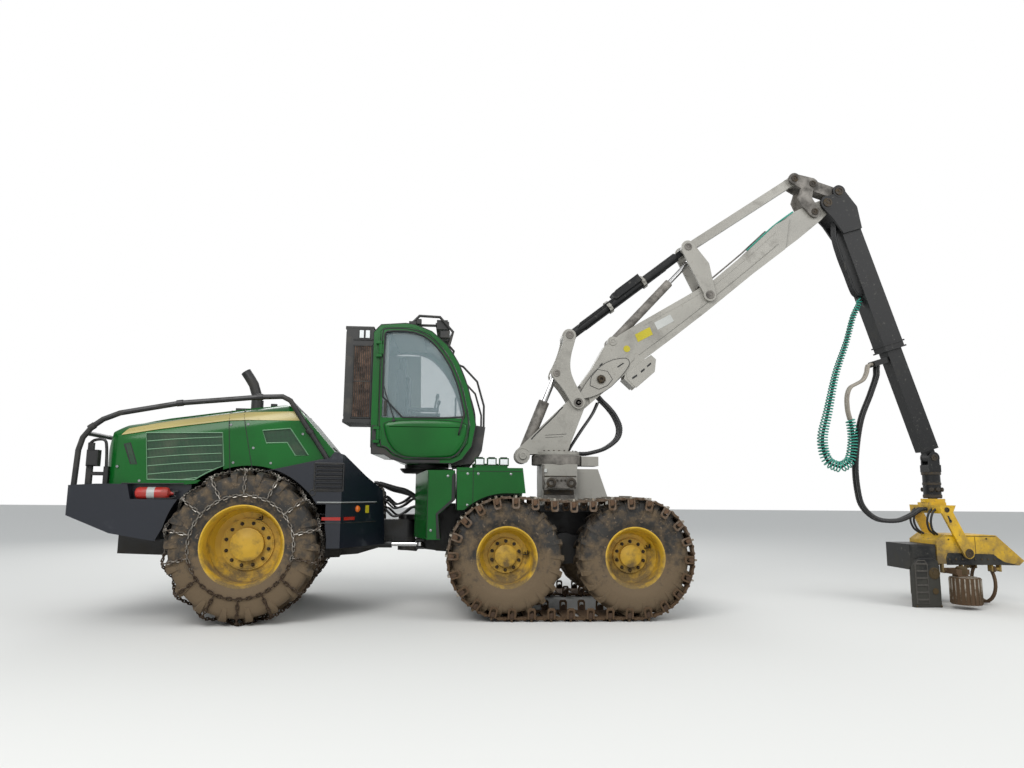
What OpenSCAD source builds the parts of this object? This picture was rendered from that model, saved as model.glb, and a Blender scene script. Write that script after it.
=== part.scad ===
// Forestry harvester: six wheels, articulated frame, turning cab, parallel crane and harvesting head.
// Millimetres. X points forward, Y to the left, Z up. Pieces are drawn about the front bogie's centre on the
// ground, and the whole machine is then shifted so that the origin lies under the middle of its outline.

/* [Stance] */
// Distance between the two wheels of a bogie
bogie_pitch = 1500; // [1440:10:1560]
// Articulation joint, measured from the bogie's centre
joint_x = -1994; // [-2040:2:-1960]
// Rear axle behind the articulation joint
rear_axle_back = 1822; // [1790:2:1850]
// Angle of the rear frame as the machine stands
rest_steer = 5.85; // [0:0.05:8]
// Crane's slewing axis, measured from the bogie's centre
slew_x = -10; // [-40:5:40]
// Cab's turning axis, measured from the bogie's centre
cab_x = -1750; // [-1760:2:-1740]
// Origin shift from the bogie's centre to the middle of the outline, along X and Y
origin_shift = [-250, 162]; // [-600:1:600]

/* [Front wheels] */
// Radius of a bogie tyre over its lugs
front_tyre_r = 666.9; // [650:0.1:680]
// Width of a bogie tyre
front_tyre_w = 600; // [560:10:620]
// Bead seat radius of a bogie rim
front_rim_r = 336; // [320:2:345]
// Outer face of a bogie rim's flange, from the centre plane
front_rim_face = 1286; // [1280:2:1300]
// Depth of a bogie rim's disc behind its flange
front_dish = 316; // [280:2:330]
// Width of a bogie rim over its flanges
front_rim_w = 520; // [500:10:540]

/* [Rear wheels] */
// Radius of a rear tyre over its lugs
rear_tyre_r = 820; // [800:5:830]
// Width of a rear tyre
rear_tyre_w = 700; // [660:10:710]
// Height of the rear tyres' lugs
rear_lug_h = 42; // [25:1:50]
// Bead seat radius of a rear rim
rear_rim_r = 432; // [420:2:440]
// Outer face of a rear rim's flange, from the rear frame's centre plane
rear_rim_face = 1393; // [1386:1:1400]
// Depth of a rear rim's disc behind its flange
rear_dish = 395; // [360:5:400]
// Width of a rear rim over its flanges
rear_rim_w = 630; // [600:10:640]
// Thickness of the snow chains on the rear tyres
chain_t = 25; // [18:1:28]
// Radius of a snow chain's side ring
chain_ring_r = 545; // [530:5:600]

/* [Bogie tracks] */
// Shoes in a track
shoe_count = 32; // [28:1:36]
// Height of a shoe over the track's inner face
shoe_t = 44; // [36:1:50]
// Thickness of the links between two shoes
link_t = 20; // [14:1:26]
// Play between the tyre and the track
track_gap = 0.3; // [0.3:0.1:6]
// Sag of a track's top run between the wheels
track_sag = 40; // [10:5:60]
// Thickness of a shoe's side guides
guide_t = 32; // [24:2:36]

/* [Cab] */
// Half the cab's width over its side walls
cab_half_w = 780; // [760:5:800]
// Thickness of the cab's walls
cab_wall = 60; // [50:2:66]
// Gap round the door
door_gap = 8; // [6:1:10]
// Thickness of the glass
glass_t = 12; // [8:1:16]

/* [Rear body] */
// Half the hood's width
hood_half_w = 1150; // [1120:5:1170]
// Radius of the hood's top edges
hood_round = 230; // [180:10:260]
// Half the side boxes' width
box_half_w = 1250; // [1230:5:1270]
// Radius of the wheel arches
arch_r = 885; // [880:5:900]
// Radius of the guard rail's tube
rail_r = 30; // [24:1:34]

/* [Crane pins] */
// Foot of the lift cylinder, X and Z
lift_foot = [-480, 1937]; // [-500:1:2000]
// Hub of the pillar, which carries the boom and the rocker
hub = [262, 2653]; // [0:1:3000]
// Lift cylinder's eye on the rocker
rocker_mid = [-33, 3047]; // [-100:1:3100]
// Tie tube's eye on the rocker
rocker_top = [148, 3577]; // [0:1:3600]
// Head of the link plates
plate_top = [1826, 4883]; // [1500:1:5000]
// Foot of the link plates on the boom
plate_foot = [2120, 4198]; // [2000:1:4300]
// Outer cylinder's lug on the boom
jib_lug = [752, 3509]; // [700:1:3600]
// Outer cylinder's eye on the link plates
jib_eye = [1900, 4735]; // [1500:1:5000]
// Head of the horseshoe link, where the square rod ends
shoe_head = [3436, 5973]; // [3000:1:6000]
// Horseshoe link's pin for the short link
shoe_pin = [3699, 5901]; // [3000:1:6000]
// Short link's pin on the stick
stick_pin = [4065, 5785]; // [4000:1:6000]
// Foot of the horseshoe link on the boom
shoe_foot = [3710, 5483]; // [3000:1:6000]
// Stick's pivot at the boom's end
knuckle = [3885, 5607]; // [3000:1:6000]
// Point on the stick's axis below the knuckle
stick_root = [4290, 5030]; // [4000:1:5100]
// Pin at the tip of the stick's extension
tip = [5250, 1980]; // [1500:1:5400]

/* [Crane sections] */
// Half the boom's width
boom_half_w = 130; // [124:1:132]
// Half depth and half width of the stick's tube
stick_box = [145, 140]; // [130:1:150]
// Wall of the stick's tube
stick_wall = 22; // [16:1:24]
// Half depth and half width of the extension
extension_box = [110, 104]; // [90:1:114]
// Radius of the lift cylinder's barrel
lift_r = 75; // [65:1:80]
// Radius of the outer cylinder's barrel
jib_r = 60; // [50:1:66]
// Radius of the tie tube
tie_r = 65; // [50:1:70]
// Half the square rod's side
rod_half = 62; // [50:1:66]
// Running clearance of a pin in its bore
fit = 0.05; // [0.02:0.01:0.1]

/* [Head] */
// Tilt pin of the head, X and Z
tilt_pin = [5480, 700]; // [500:1:5600]
// Half width of the head's frame
head_half_w = 300; // [280:5:304]
// Radius of a feed roller
roller_r = 180; // [160:5:190]
// Distance of a feed roller's axis from the head's centre plane
roller_y = 430; // [400:5:440]

/* [Hidden] */
$fn = 48;
front_axle_z = front_tyre_r + track_gap + shoe_t;
rear_axle_z = rear_tyre_r + chain_t;
front_tyre_y = front_rim_face - front_rim_w / 2;
rear_tyre_y = rear_rim_face - rear_rim_w / 2;
green = "#2f7d32";
navy = "#1b2230";
black = "#1a1a1a";
steel = "#8c8f94";
crane_grey = "#b9bab5";
rim_yellow = "#c79a1e";
rubber = "#262522";

// Shared shapes

// A flat plate between y0 and y1, drawn as its outline in X and Z
module slab(outline, y0, y1)
  translate([0, y1, 0]) rotate([90, 0, 0]) linear_extrude(y1 - y0) polygon(outline);
// A plate between z0 and z1, drawn as its outline in X and Y
module deck(outline, z0, z1) translate([0, 0, z0]) linear_extrude(z1 - z0) polygon(outline);
// A pin or a bore along Y at the point p in X and Z
module pin(p, r, y0, y1) translate([p[0], y1, p[1]]) rotate([90, 0, 0]) cylinder(r = r, h = y1 - y0);
module rod_x(p, r, x0, x1) translate([x0, p[0], p[1]]) rotate([0, 90, 0]) cylinder(r = r, h = x1 - x0);
// The same on both sides of the centre plane
module both() {
  children();
  mirror([0, 1, 0]) children();
}
module box(low, high) translate(low) cube(high - low);
function unit(v) = v / norm(v);
function side(v) = [-v[1], v[0]];
// Outline of a bar from p to q, as wide as a at p and b at q to each side
function bar_outline(p, q, a, b) = let (n = side(unit(q - p))) [p - a * n, q - b * n, q + b * n, p + a * n];
module bar(p, q, a, b, y0, y1) slab(bar_outline(p, q, a, b), y0, y1);
// A link with an eye at each end
module link(p, q, a, b, y0, y1) {
  bar(p, q, a, b, y0, y1);
  pin(p, a, y0, y1);
  pin(q, b, y0, y1);
}
// A round bar along the line from p to q, between two distances from p
module ram(p, q, r, from, to) {
  d = unit(q - p);
  translate([p[0] + from * d[0], 0, p[1] + from * d[1]])
    rotate([0, atan2(d[0], d[1]), 0]) cylinder(r = r, h = to - from);
}
// A bent tube through points in space, drawn as rings of corners joined by triangles
function along(points, i) = let (n = len(points) - 1)
  unit(unit(points[min(i + 1, n)] - points[min(i, n - 1)]) + unit(points[max(i, 1)] - points[max(i - 1, 0)]));
function across(points, i) = let (t = along(points, i),
  v = i == 0 ? (abs(t[1]) < 0.9 ? [0, 1, 0] : [1, 0, 0]) : across(points, i - 1)) unit(v - (v * t) * t);
module tube(points, r, corners = 10) {
  rings = [for (i = [0 : len(points) - 1]) let (u = across(points, i), v = cross(along(points, i), u))
    for (k = [0 : corners - 1]) points[i] + r * (cos(k * 360 / corners) * u + sin(k * 360 / corners) * v)];
  last = (len(points) - 1) * corners;
  polyhedron(rings, concat(
    [for (i = [0 : len(points) - 2], k = [0 : corners - 1]) let (a = i * corners, b = (k + 1) % corners)
      [a + k, a + corners + k, a + b]],
    [for (i = [0 : len(points) - 2], k = [0 : corners - 1]) let (a = i * corners, b = (k + 1) % corners)
      [a + b, a + corners + k, a + corners + b]],
    [for (k = [1 : corners - 2]) [0, k, k + 1]],
    [for (k = [1 : corners - 2]) [last, last + k + 1, last + k]]), convexity = 8);
}
// A smooth run through the given points, for hoses
function spline(p, steps) = [for (i = [0 : len(p) - 2], k = [0 : (i == len(p) - 2 ? steps : steps - 1)])
  let (a = p[max(i - 1, 0)], b = p[i], c = p[i + 1], d = p[min(i + 2, len(p) - 1)], t = k / steps)
  0.5 * (2 * b + (c - a) * t + (2 * a - 5 * b + 4 * c - d) * t * t + (3 * b - a - 3 * c + d) * t * t * t)];
module rear() translate([joint_x, 0, 0]) rotate([0, 0, rest_steer]) children();
// Places a wheel drawn about +Z so that +Z points out to the right of the machine
module wheel(x, y, z) translate([x, y, z]) rotate([90, 0, 0]) children();

// Wheels

// A ring about Z with flat corners: a section, counter-clockwise as radius and height, at each corner
corners = 24;
module ring(section) {
  m = len(section);
  polyhedron([for (i = [0 : corners - 1], q = section) [q[0] * cos(i * 360 / corners), q[0] * sin(i * 360 / corners), q[1]]],
    [for (i = [0 : corners - 1], j = [0 : m - 1]) let (k = (i + 1) % corners, n = (j + 1) % m)
      [i * m + j, i * m + n, k * m + n, k * m + j]], convexity = 6);
}
module tyre(r, w, lug, rim_r, rim_w, lugs, slant) {
  crown = r - lug;
  flat = cos(180 / corners);
  half = lug > 0 ? [[crown, w / 2 - 70], [crown - 75, w / 2], [rim_r + 60, w / 2], [(rim_r + 20.3) / flat, rim_w / 2 - 10]] :
    [[crown, w / 2 - 70], [crown - 75, w / 2], [(rim_r + 20.3) / flat, rim_w / 2 - 4]];
  n = len(half) - 1;
  ring(concat([for (i = [n : -1 : 0]) [half[i][0], -half[i][1]]], half));
  if (lugs > 0) for (i = [0 : lugs - 1], s = [-1, 1])
    rotate([0, 0, (i + s / 4) * 360 / lugs]) translate([crown - 60, 0, s * w / 4]) rotate([-s * slant, 0, 0])
      translate([0, -lug * 0.7, -w / 4 + 20]) cube([60 + lug - 3, lug * 1.4, w / 2 - 40]);
}
// A rim, drawn with its tyre's middle at 0 and its open dish towards +Z
module rim(r, w, dish, hub_r) {
  lip = r + 20;
  wall = 14;
  disc = w / 2 - dish;
  rotate_extrude($fn = 96) polygon([
    [r - wall, -w / 2], [lip, -w / 2], [lip, -w / 2 + 16], [r, -w / 2 + 30], [r, w / 2 - 30], [lip, w / 2 - 16],
    [lip, w / 2], [lip - 16, w / 2], [r - wall, w / 2 - 26], [r - wall - 12, w / 2 - 120], [r - wall - 12, disc + 60],
    [r - wall - 60, disc], [0, disc], [0, disc - 20], [r - wall - 60, disc - 20], [r - wall, disc - 60]]);
  translate([0, 0, disc - 1]) cylinder(r = hub_r, h = 21);
  translate([0, 0, disc]) cylinder(r = hub_r * 0.64, h = 70);
}
// Snow chain: two side rings and bars across the tread
module chain(r, w, bars) {
  for (s = [-1, 1]) let (a = chain_ring_r - 11, b = chain_ring_r + 11, z = s * (w / 2 - 2))
    ring([[a, z - 11], [b, z - 11], [b, z + 11], [a, z + 11]]);
  half = [[chain_ring_r - 9, w / 2 + 12], [r - 60, w / 2 + 10], [r + chain_t - 2, w / 2 - 55]];
  under = [[r - 20, w / 2 - 58], [r - 60, w / 2 - 30], [chain_ring_r - 9, w / 2 - 8]];
  for (i = [0 : bars - 1]) rotate([0, 0, (i + 0.5) * 360 / bars]) translate([0, 11, 0]) rotate([90, 0, 0])
    linear_extrude(22) polygon(concat(half, [for (k = [2 : -1 : 0]) [half[k][0], -half[k][1]]],
      [for (k = [2 : -1 : 0]) [under[k][0], -under[k][1]]], under));
}
// A point of the track's run at a distance s, with the direction away from the wheels: X, Z, then the direction
track_r = front_tyre_r + track_gap;
track_len = 2 * bogie_pitch + 2 * PI * track_r;
function track_at(s) = let (half = PI * track_r, p = bogie_pitch / 2)
  s < bogie_pitch ? [s - p, -track_r, 0, -1] :
  s < bogie_pitch + half ? let (a = -90 + 180 * (s - bogie_pitch) / half)
    [p + track_r * cos(a), track_r * sin(a), cos(a), sin(a)] :
  s < 2 * bogie_pitch + half ? let (t = (s - bogie_pitch - half) / bogie_pitch)
    [p - t * bogie_pitch, track_r - track_sag * (1 - cos(360 * t)) / 2, 0, 1] :
  let (a = 90 + 180 * (s - 2 * bogie_pitch - half) / half) [-p + track_r * cos(a), track_r * sin(a), cos(a), sin(a)];
function track_out(s, h) = let (q = track_at(s)) [q[0] + h * q[2], q[1] + h * q[3]];
module track() {
  outer = [for (k = [0 : 4 * shoe_count - 1])
    track_out((k % 4 == 0 ? k - 0.4 : k % 4 == 1 ? k + 1.4 : k % 4 == 2 ? k + 0.5 : k + 0.5) * track_len / (4 * shoe_count),
      k % 4 < 2 ? shoe_t : link_t)];
  // The inner face has its corners where the tyres have theirs, and six more along the sagging run
  arc = PI * track_r;
  inner = [for (s = concat([for (k = [0 : corners / 2]) bogie_pitch + k * arc / (corners / 2)],
    [for (k = [1 : 6]) bogie_pitch + arc + k * bogie_pitch / 7],
    [for (k = [0 : corners / 2]) 2 * bogie_pitch + arc + k * arc / (corners / 2)])) track_out(s - 0.001, 0)];
  y0 = front_tyre_y - front_tyre_w / 2 - guide_t - 8;
  y1 = front_tyre_y + front_tyre_w / 2 + guide_t + 8;
  translate([0, 0, front_axle_z]) {
    difference() {
      slab(outer, y0, y1);
      slab(inner, y0 - 1, y1 + 1);
    }
    for (k = [0 : shoe_count - 1]) {
      q = track_at((4 * k + 1) * track_len / (4 * shoe_count));
      for (y = [y0 + 1, y1 - guide_t + 1]) translate([q[0], y, q[1]]) rotate([0, 90 - atan2(q[3], q[2]), 0])
        translate([-46, 0, -112]) cube([92, guide_t - 2, 124]);
    }
  }
}

module front_rims() color(rim_yellow) both() for (x = [-1, 1])
  wheel(x * bogie_pitch / 2, -front_tyre_y, front_axle_z) rim(front_rim_r, front_rim_w, front_dish, 205);
module front_tyres() color(rubber) both() for (x = [-1, 1])
  wheel(x * bogie_pitch / 2, -front_tyre_y, front_axle_z)
    tyre(front_tyre_r, front_tyre_w, 0, front_rim_r, front_rim_w, 0, 0);
module bogie_tracks() color(steel) both() mirror([0, 1, 0]) track();
module bogie_cases() color(black) both() {
  case_y = [-680, -480];
  for (x = [-1, 1]) {
    pin([x * bogie_pitch / 2, front_axle_z], 150, -(front_rim_face - front_dish - 20), case_y[1]);
    pin([x * bogie_pitch / 2, front_axle_z], 170, case_y[0], case_y[1]);
    bar([x * bogie_pitch / 2, front_axle_z], [0, front_axle_z + 60], 160, 175, case_y[0] + 2, case_y[1] - 2);
  }
  pin([0, front_axle_z + 60], 190, case_y[0], case_y[1]);
  pin([0, front_axle_z + 60], 130, case_y[1] - 1, -330);
}
module rear_rim() color(rim_yellow) rear()
  wheel(-rear_axle_back, -rear_tyre_y, rear_axle_z) rim(rear_rim_r, rear_rim_w, rear_dish, 290);
module rear_tyre() color(rubber) rear()
  wheel(-rear_axle_back, -rear_tyre_y, rear_axle_z) {
    tyre(rear_tyre_r, rear_tyre_w, rear_lug_h, rear_rim_r, rear_rim_w, 16, 25);
    chain(rear_tyre_r, rear_tyre_w, 12);
  }
module rear_mirror() translate([joint_x, 0, 0]) rotate([0, 0, 2 * rest_steer]) translate([-joint_x, 0, 0])
  mirror([0, 1, 0]) children();

// Front frame

neck_front = joint_x + 140;
spigot_r = 120;
module front_chassis() color(black) {
  slab([[neck_front, 1220], [neck_front, 740], [-1500, 700], [-1500, 1220]], -250, 250);
  slab([[-1600, 1220], [-1600, 712], [-1400, 700], [1050, 700], [1180, 860], [1180, 1220]], -330, 330);
  deck([[-1870, -410], [-1660, -600], [960, -600], [960, 600], [-1660, 600], [-1870, 410]], 1220, 1296);
  deck([[1180, -560], [1250, -480], [1250, 480], [1180, 560]], 760, 1180);
  // Cab pedestal and its ring
  deck([[-1875, -290], [-1480, -290], [-1480, 290], [-1875, 290]], 1296, 1690);
  difference() {
    translate([cab_x, 0, 1690]) cylinder(r = 300, h = 65);
    translate([cab_x, 0, 1700]) cylinder(r = spigot_r + fit, h = 80);
  }
  // Fork of the articulation joint and its two pins
  for (z = [[1100, 1160], [700, 760]]) {
    deck([[joint_x, -110], [neck_front + 10, -250], [neck_front + 10, 250], [joint_x, 110]], z[0], z[1]);
    translate([joint_x, 0, z[0]]) cylinder(r = 110, h = z[1] - z[0]);
  }
  translate([joint_x, 0, 700]) cylinder(r = 50, h = 460);
  // Ears for the steering cylinders' eyes
  both() for (z = [[835, 860], [740, 765]]) {
    deck([[-1850, -245], [-1730, -245], [-1740, -430], [-1840, -430]], z[0], z[1]);
    translate([steer_eye[0], -steer_eye[1], z[0] < 800 ? 745 : 830]) cylinder(r = 27, h = 25);
  }
}
steer_z = 800;
steer_eye = [-1794, 380];
steer_foot = [-750, 300];

tank_profile = [[-1890, 1660], [-1700, 1708], [-1367, 1710], [-1361, 1358], [-1557, 1182], [-1527, 894], [-1890, 894]];
module tank_boxes() color(green) both() {
  intersection() {
    slab(tank_profile, -1060, -410);
    deck([[-1868, -430], [-1690, -1050], [-1350, -1050], [-1350, -600], [-1660, -600], [-1850, -430.5]], 800, 1800);
  }
  difference() {
    slab([[-1344, 1742], [-557, 1742], [-523, 1452], [-553, 1242], [-1335, 1242]], -1100, -600);
    pin([-bogie_pitch / 2, front_axle_z], track_r + shoe_t + 20, -1400, -650);
    box([-bogie_pitch / 2, -1400, 1000], [0, -650, front_axle_z + track_r + shoe_t + 20]);
  }
}
module front_lamps() color(crane_grey) both() {
  box([-1120, -1090, 1742], [-740, -980, 1765]);
  for (x = [-1075, -930, -785]) box([x - 58, -1095, 1765], [x + 58, -985, 1858]);
}
module crane_base() color(steel) {
  difference() {
    union() {
      box([slew_x - 230, -330, 1296], [slew_x + 230, 330, 1823]);
      translate([slew_x, 0, 1822]) cylinder(r = 330, h = 128);
    }
    translate([slew_x, 0, 1840]) cylinder(r = spigot_r + fit, h = 200);
  }
  for (x = [-130, 130]) pin([slew_x + x, 1581], 72, -470, 470);
  both() slab([[220, 1767], [517, 1767], [648, 1390], [648, 1296], [220, 1296]], -190, -150);
  box([300, -190, 1809], [526, 190, 1933]);
}

// Rear frame

module rear_chassis() color(black) rear() {
  difference() {
    union() {
      slab([[0, 1095], [0, 765], [-260, 765], [-620, 660], [-900, 640], [-900, 1150], [-620, 1150], [-400, 1095]],
        -130, 130);
      slab([[-830, 1150], [-830, 640], [-1500, 620], [-3400, 700], [-3400, 1150]], -380, 380);
      translate([0, 0, 765]) cylinder(r = 120, h = 330);
    }
    translate([0, 0, 700]) cylinder(r = 50 + fit, h = 500);
  }
  pin([-rear_axle_back, rear_axle_z], 150, -(rear_rim_face - rear_dish - 20.3), -380);
  pin([-rear_axle_back, rear_axle_z], 150, 380, rear_rim_face - rear_dish - 20.3);
  // Brackets of the steering cylinders
  both() for (z = [[835, 860], [740, 765]])
    deck([[-840, -125], [-770, -125], [-706, -280], [-710, -345], [-840, -345]], z[0], z[1]);
  both() translate([steer_foot[0], -steer_foot[1], 740]) cylinder(r = 22, h = 120);
}
module engine() color(steel) rear() box([-2900, -450, 1150], [-1700, 450, 1950]);

hood_profile = [[-3396, 1510], [-3396, 1750], [-3378, 1878], [-3312, 2079], [-3185, 2171], [-2928, 2233], [-2615, 2298],
  [-1972, 2396], [-1477, 2456], [-1305, 2379], [-889, 1900], [-939, 1827], [-1682, 1657], [-2033, 1564], [-2500, 1510]];
module hood_form() intersection() {
  slab(hood_profile, -hood_half_w, hood_half_w);
  // Rounded top edges, along the slope of the hood's top
  translate([-3185, 0, 2180]) rotate([0, -9, 0]) rotate([90, 0, 90]) translate([0, 0, -600]) linear_extrude(3400)
    union() {
      translate([-hood_half_w, -1500]) square([2 * hood_half_w, 1500 - hood_round]);
      translate([-hood_half_w + hood_round, -1500]) square([2 * (hood_half_w - hood_round), 1500 + 20]);
      for (s = [-1, 1]) translate([s * (hood_half_w - hood_round), -hood_round]) circle(r = hood_round, $fn = 64);
    }
  // Rounded rear corners
  linear_extrude(3000) union() {
    translate([-3140, -hood_half_w]) square([2400, 2 * hood_half_w]);
    translate([-3396, -hood_half_w + 256]) square([400, 2 * hood_half_w - 512]);
    for (s = [-1, 1]) translate([-3140, s * (hood_half_w - 256)]) circle(r = 256, $fn = 64);
  }
}
module arches(r) both() pin([-rear_axle_back, rear_axle_z], r, -1600, -640);
hood_wall = 100;
grille = [[-2955, 2083], [-2141, 2101], [-2104, 1560], [-2911, 1560]];
vent = [[-1708, 2133], [-1401, 2163], [-1186, 1858], [-1330, 1850], [-1430, 2000], [-1660, 1990]];
module hood() color(green) rear() difference() {
  hood_form();
  box([-3250, -hood_half_w + hood_wall, 1400], [-1330, hood_half_w - hood_wall, 2080]);
  arches(arch_r);
  both() slab(grille, -hood_half_w - 50, -hood_half_w + hood_wall + 50);
  both() slab(vent, -hood_half_w - 50, -hood_half_w + hood_wall + 50);
}
// Slats in the side grilles and vents, a louvre on the sloping front
module hood_grilles() color(black) rear() {
  both() {
    intersection() {
      slab(grille, -hood_half_w + 20, -hood_half_w + hood_wall - 1);
      union() {
        slab([[-3000, 1500], [-3000, 2150], [-2050, 2150], [-2050, 1500]], -hood_half_w + 65, -hood_half_w + hood_wall - 1);
        for (i = [0 : 5]) box([-3000, -hood_half_w + 20, 1590 + i * 92], [-2050, -hood_half_w + hood_wall - 1, 1630 + i * 92]);
      }
      difference() {
        slab([[-3000, 1500], [-3000, 2150], [-2050, 2150], [-2050, 1500]], -hood_half_w - 50, -hood_half_w + hood_wall + 50);
        arches(arch_r);
      }
    }
    slab(vent, -hood_half_w + 30, -hood_half_w + 70);
  }
}
module rear_panels() color(navy) rear() difference() {
  union() {
    // Rear body behind the wheels, with the ledge on each side
    difference() {
      slab([[-3672, 1492], [-3672, 1171], [-3227, 980], [-2760, 895], [-2560, 1290], [-2500, 1346], [-3040, 1346],
        [-3080, 1510], [-3396, 1510]], -box_half_w, box_half_w);
      box([-3400, -380, 600], [-2400, 380, 1150]);
      box([-2900, -450, 1149], [-2400, 450, 1600]);
    }
    // Support of the hood over the ledge
    both() box([-3081, -box_half_w + 150, 1345], [-2450, -450, 1510]);
    // Box ahead of each wheel, tapered towards the joint
    both() intersection() {
      slab([[-1682, 1657], [-939, 1827], [-886, 1897], [-771, 1865], [-536, 1638], [-325, 1468], [-280, 809], [-960, 809],
        [-960, 1300], [-1682, 1300]], -box_half_w, -380);
      deck([[-2000, -600], [-2000, -box_half_w], [-790, -box_half_w], [-290, -500], [-290, -420], [-620, -400],
        [-860, -380], [-1250, -380], [-1250, -600]], 700, 2000);
    }
  }
  box([-900, -480, 600], [-200, 480, 885]);
  arches(arch_r);
  both() for (i = [0 : 5]) box([-1080, -box_half_w - 50, 1470 + i * 48], [-790, -box_half_w + 35, 1492 + i * 48]);
}
rail_y = hood_half_w + 40;
module guard_rail() color(black) rear() {
  both() difference() {
    tube([[-3640, -rail_y, 1480], [-3625, -rail_y, 1871], [-3590, -rail_y, 2010], [-3506, -rail_y, 2130], [-3400, -rail_y, 2215],
      [-3230, -rail_y, 2290], [-2610, -rail_y, 2418], [-1751, -rail_y, 2512], [-1500, -rail_y, 2525], [-1410, -rail_y, 2480],
      [-1360, -rail_y, 2400], [-960, -rail_y, 1805]], rail_r);
    slab([[-3672, 1492], [-3396, 1510], [-3396, 1400], [-3672, 1400]], -rail_y - 60, -rail_y + 90);
    slab([[-1682, 1657], [-939, 1827], [-860, 1897], [-860, 1600]], -rail_y - 60, -rail_y + 90);
  }
  for (p = [[-3560, 2060], [-1440, 2500]]) pin(p, rail_r - 4, -rail_y, rail_y);
}
module exhaust() color(black) rear() difference() {
  tube([[-1905, -400, 2300], [-1905, -400, 2480], [-1915, -400, 2620], [-1960, -400, 2760], [-2010, -400, 2840],
    [-2065, -400, 2920]], 62, 16);
  slab(hood_profile, -600, 0);
}
module extinguisher() color("red") rear() {
  rod_x([-box_half_w + 70, 1411], 65, -3000, -2650);
  rod_x([-box_half_w + 70, 1411], 30, -2650, -2580);
}
module rear_lamps() color("orange") rear() both() box([-3700, -1150, 1230], [-3672, -850, 1370]);

// Cab

cab_outline = [[-2400, 1906], [-2420, 2300], [-2420, 3430], [-2330, 3530], [-2020, 3555], [-1900, 3540], [-1690, 3455],
  [-1500, 3290], [-1350, 3060], [-1230, 2760], [-1150, 2420], [-1120, 2280], [-1170, 2010], [-1290, 1850], [-1400, 1800],
  [-2000, 1800], [-2160, 1850], [-2240, 1900]];
cab_window = [[-2287, 2355], [-2287, 3405], [-2240, 3450], [-1938, 3450], [-1746, 3375], [-1590, 3225], [-1450, 3020],
  [-1340, 2750], [-1265, 2425], [-1262, 2355]];
door_outline = [[-2325, 2000], [-2325, 3450], [-2270, 3490], [-1938, 3490], [-1725, 3410], [-1560, 3255], [-1415, 3040],
  [-1300, 2760], [-1222, 2425], [-1200, 2280], [-1225, 2060], [-1330, 1900], [-1440, 1850], [-1980, 1850], [-2130, 1900],
  [-2230, 1990]];
module flat_outline(points, grow) offset(delta = grow) polygon(points);
module side_panel(points, grow, y0, y1)
  translate([0, y1, 0]) rotate([90, 0, 0]) linear_extrude(y1 - y0) flat_outline(points, grow);
module cab_shell() color(green) {
  difference() {
    slab(cab_outline, -cab_half_w, cab_half_w);
    side_panel(cab_outline, -cab_wall, -cab_half_w + cab_wall, cab_half_w - cab_wall);
    side_panel(door_outline, door_gap, -cab_half_w - 1, -cab_half_w + cab_wall + 1);
    slab(cab_window, cab_half_w - cab_wall - 1, cab_half_w + 1);
    // Windscreen through the curved front
    box([-1640, -cab_half_w + 120, 2360], [-1000, cab_half_w - 120, 3330]);
    // Rear window
    box([-2500, -400, 2500], [-2300, 400, 3300]);
  }
  // Turning ring under the floor
  translate([cab_x, 0, 1760]) cylinder(r = 280, h = 41);
  translate([cab_x, 0, 1705]) cylinder(r = spigot_r, h = 60);
  // Hinge lugs and pins of the door
  for (z = hinge_z) {
    for (h = [z - 40, z + hinge_h + 5]) {
      box([-2380, hinge_at[1] - 22, h], [hinge_at[0] - 8, -cab_half_w + 10, h + 35]);
      translate([hinge_at[0], hinge_at[1], h]) cylinder(r = 22, h = 35);
      box([hinge_at[0] - 22, hinge_at[1] - 22, h], [hinge_at[0], hinge_at[1], h + 35]);
    }
    translate([hinge_at[0], hinge_at[1], z - 20]) cylinder(r = 12, h = hinge_h + 40);
  }
}
module cab_glass() color([0.7, 0.8, 0.85, 0.4]) {
  side_panel(cab_window, -0.3, cab_half_w - 36, cab_half_w - 36 + glass_t);
  box([-2396, -399.7, 2500.3], [-2396 + glass_t, 399.7, 3299.7]);
  // Windscreen in the curved front, between its pillars
  intersection() {
    difference() {
      side_panel(cab_outline, -20, -cab_half_w + 120.3, cab_half_w - 120.3);
      side_panel(cab_outline, -20 - glass_t, -cab_half_w + 100, cab_half_w - 100);
    }
    box([-1639.7, -cab_half_w, 2360.3], [-1000, cab_half_w, 3329.7]);
  }
}
module cab_lamps() color(black) {
  both() for (y = [200, 520]) box([-1640, -y - 110, 3520], [-1500, -y + 110, 3640]);
  both() box([-1905, -540, 3575], [-1610, -500, 3600]);
  box([-1655, -630, 3575], [-1630, 630, 3600]);
  difference() {
    box([-1990, -700, 3500], [-1900, 700, 3600]);
    slab(cab_outline, -800, 800);
  }
  both() tube([[-1945, -660, 3590], [-1860, -660, 3680], [-1600, -660, 3670], [-1430, -660, 3480], [-1480, -660, 3290]], 18);
}
module cab_guards() color(black) {
  // Front skirt below the windscreen
  difference() {
    slab([[-1180, 2290], [-1000, 2260], [-1040, 1962], [-1174, 1800], [-1420, 1770], [-1420, 1900], [-1250, 2050]], -700, 700);
    slab(cab_outline, -cab_half_w, cab_half_w);
  }
  both() tube([[-1350, -600, 3062], [-1290, -600, 3040], [-1110, -600, 2850], [-1020, -600, 2540], [-1020, -600, 2250]], 14);
}
module cab_intake() color(black) {
  box([-2770, -760, 2290], [-2420, -100, 2330]);
  box([-2760, -750, 2330], [-2420, -110, 3500]);
}
module cab_interior() color(black) {
  box([-1975, -260, 1860], [-1600, 260, 2200]);
  box([-2050, -270, 2200], [-1520, 270, 2330]);
  box([-2160, -250, 2300], [-2050, 250, 3050]);
}
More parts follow.
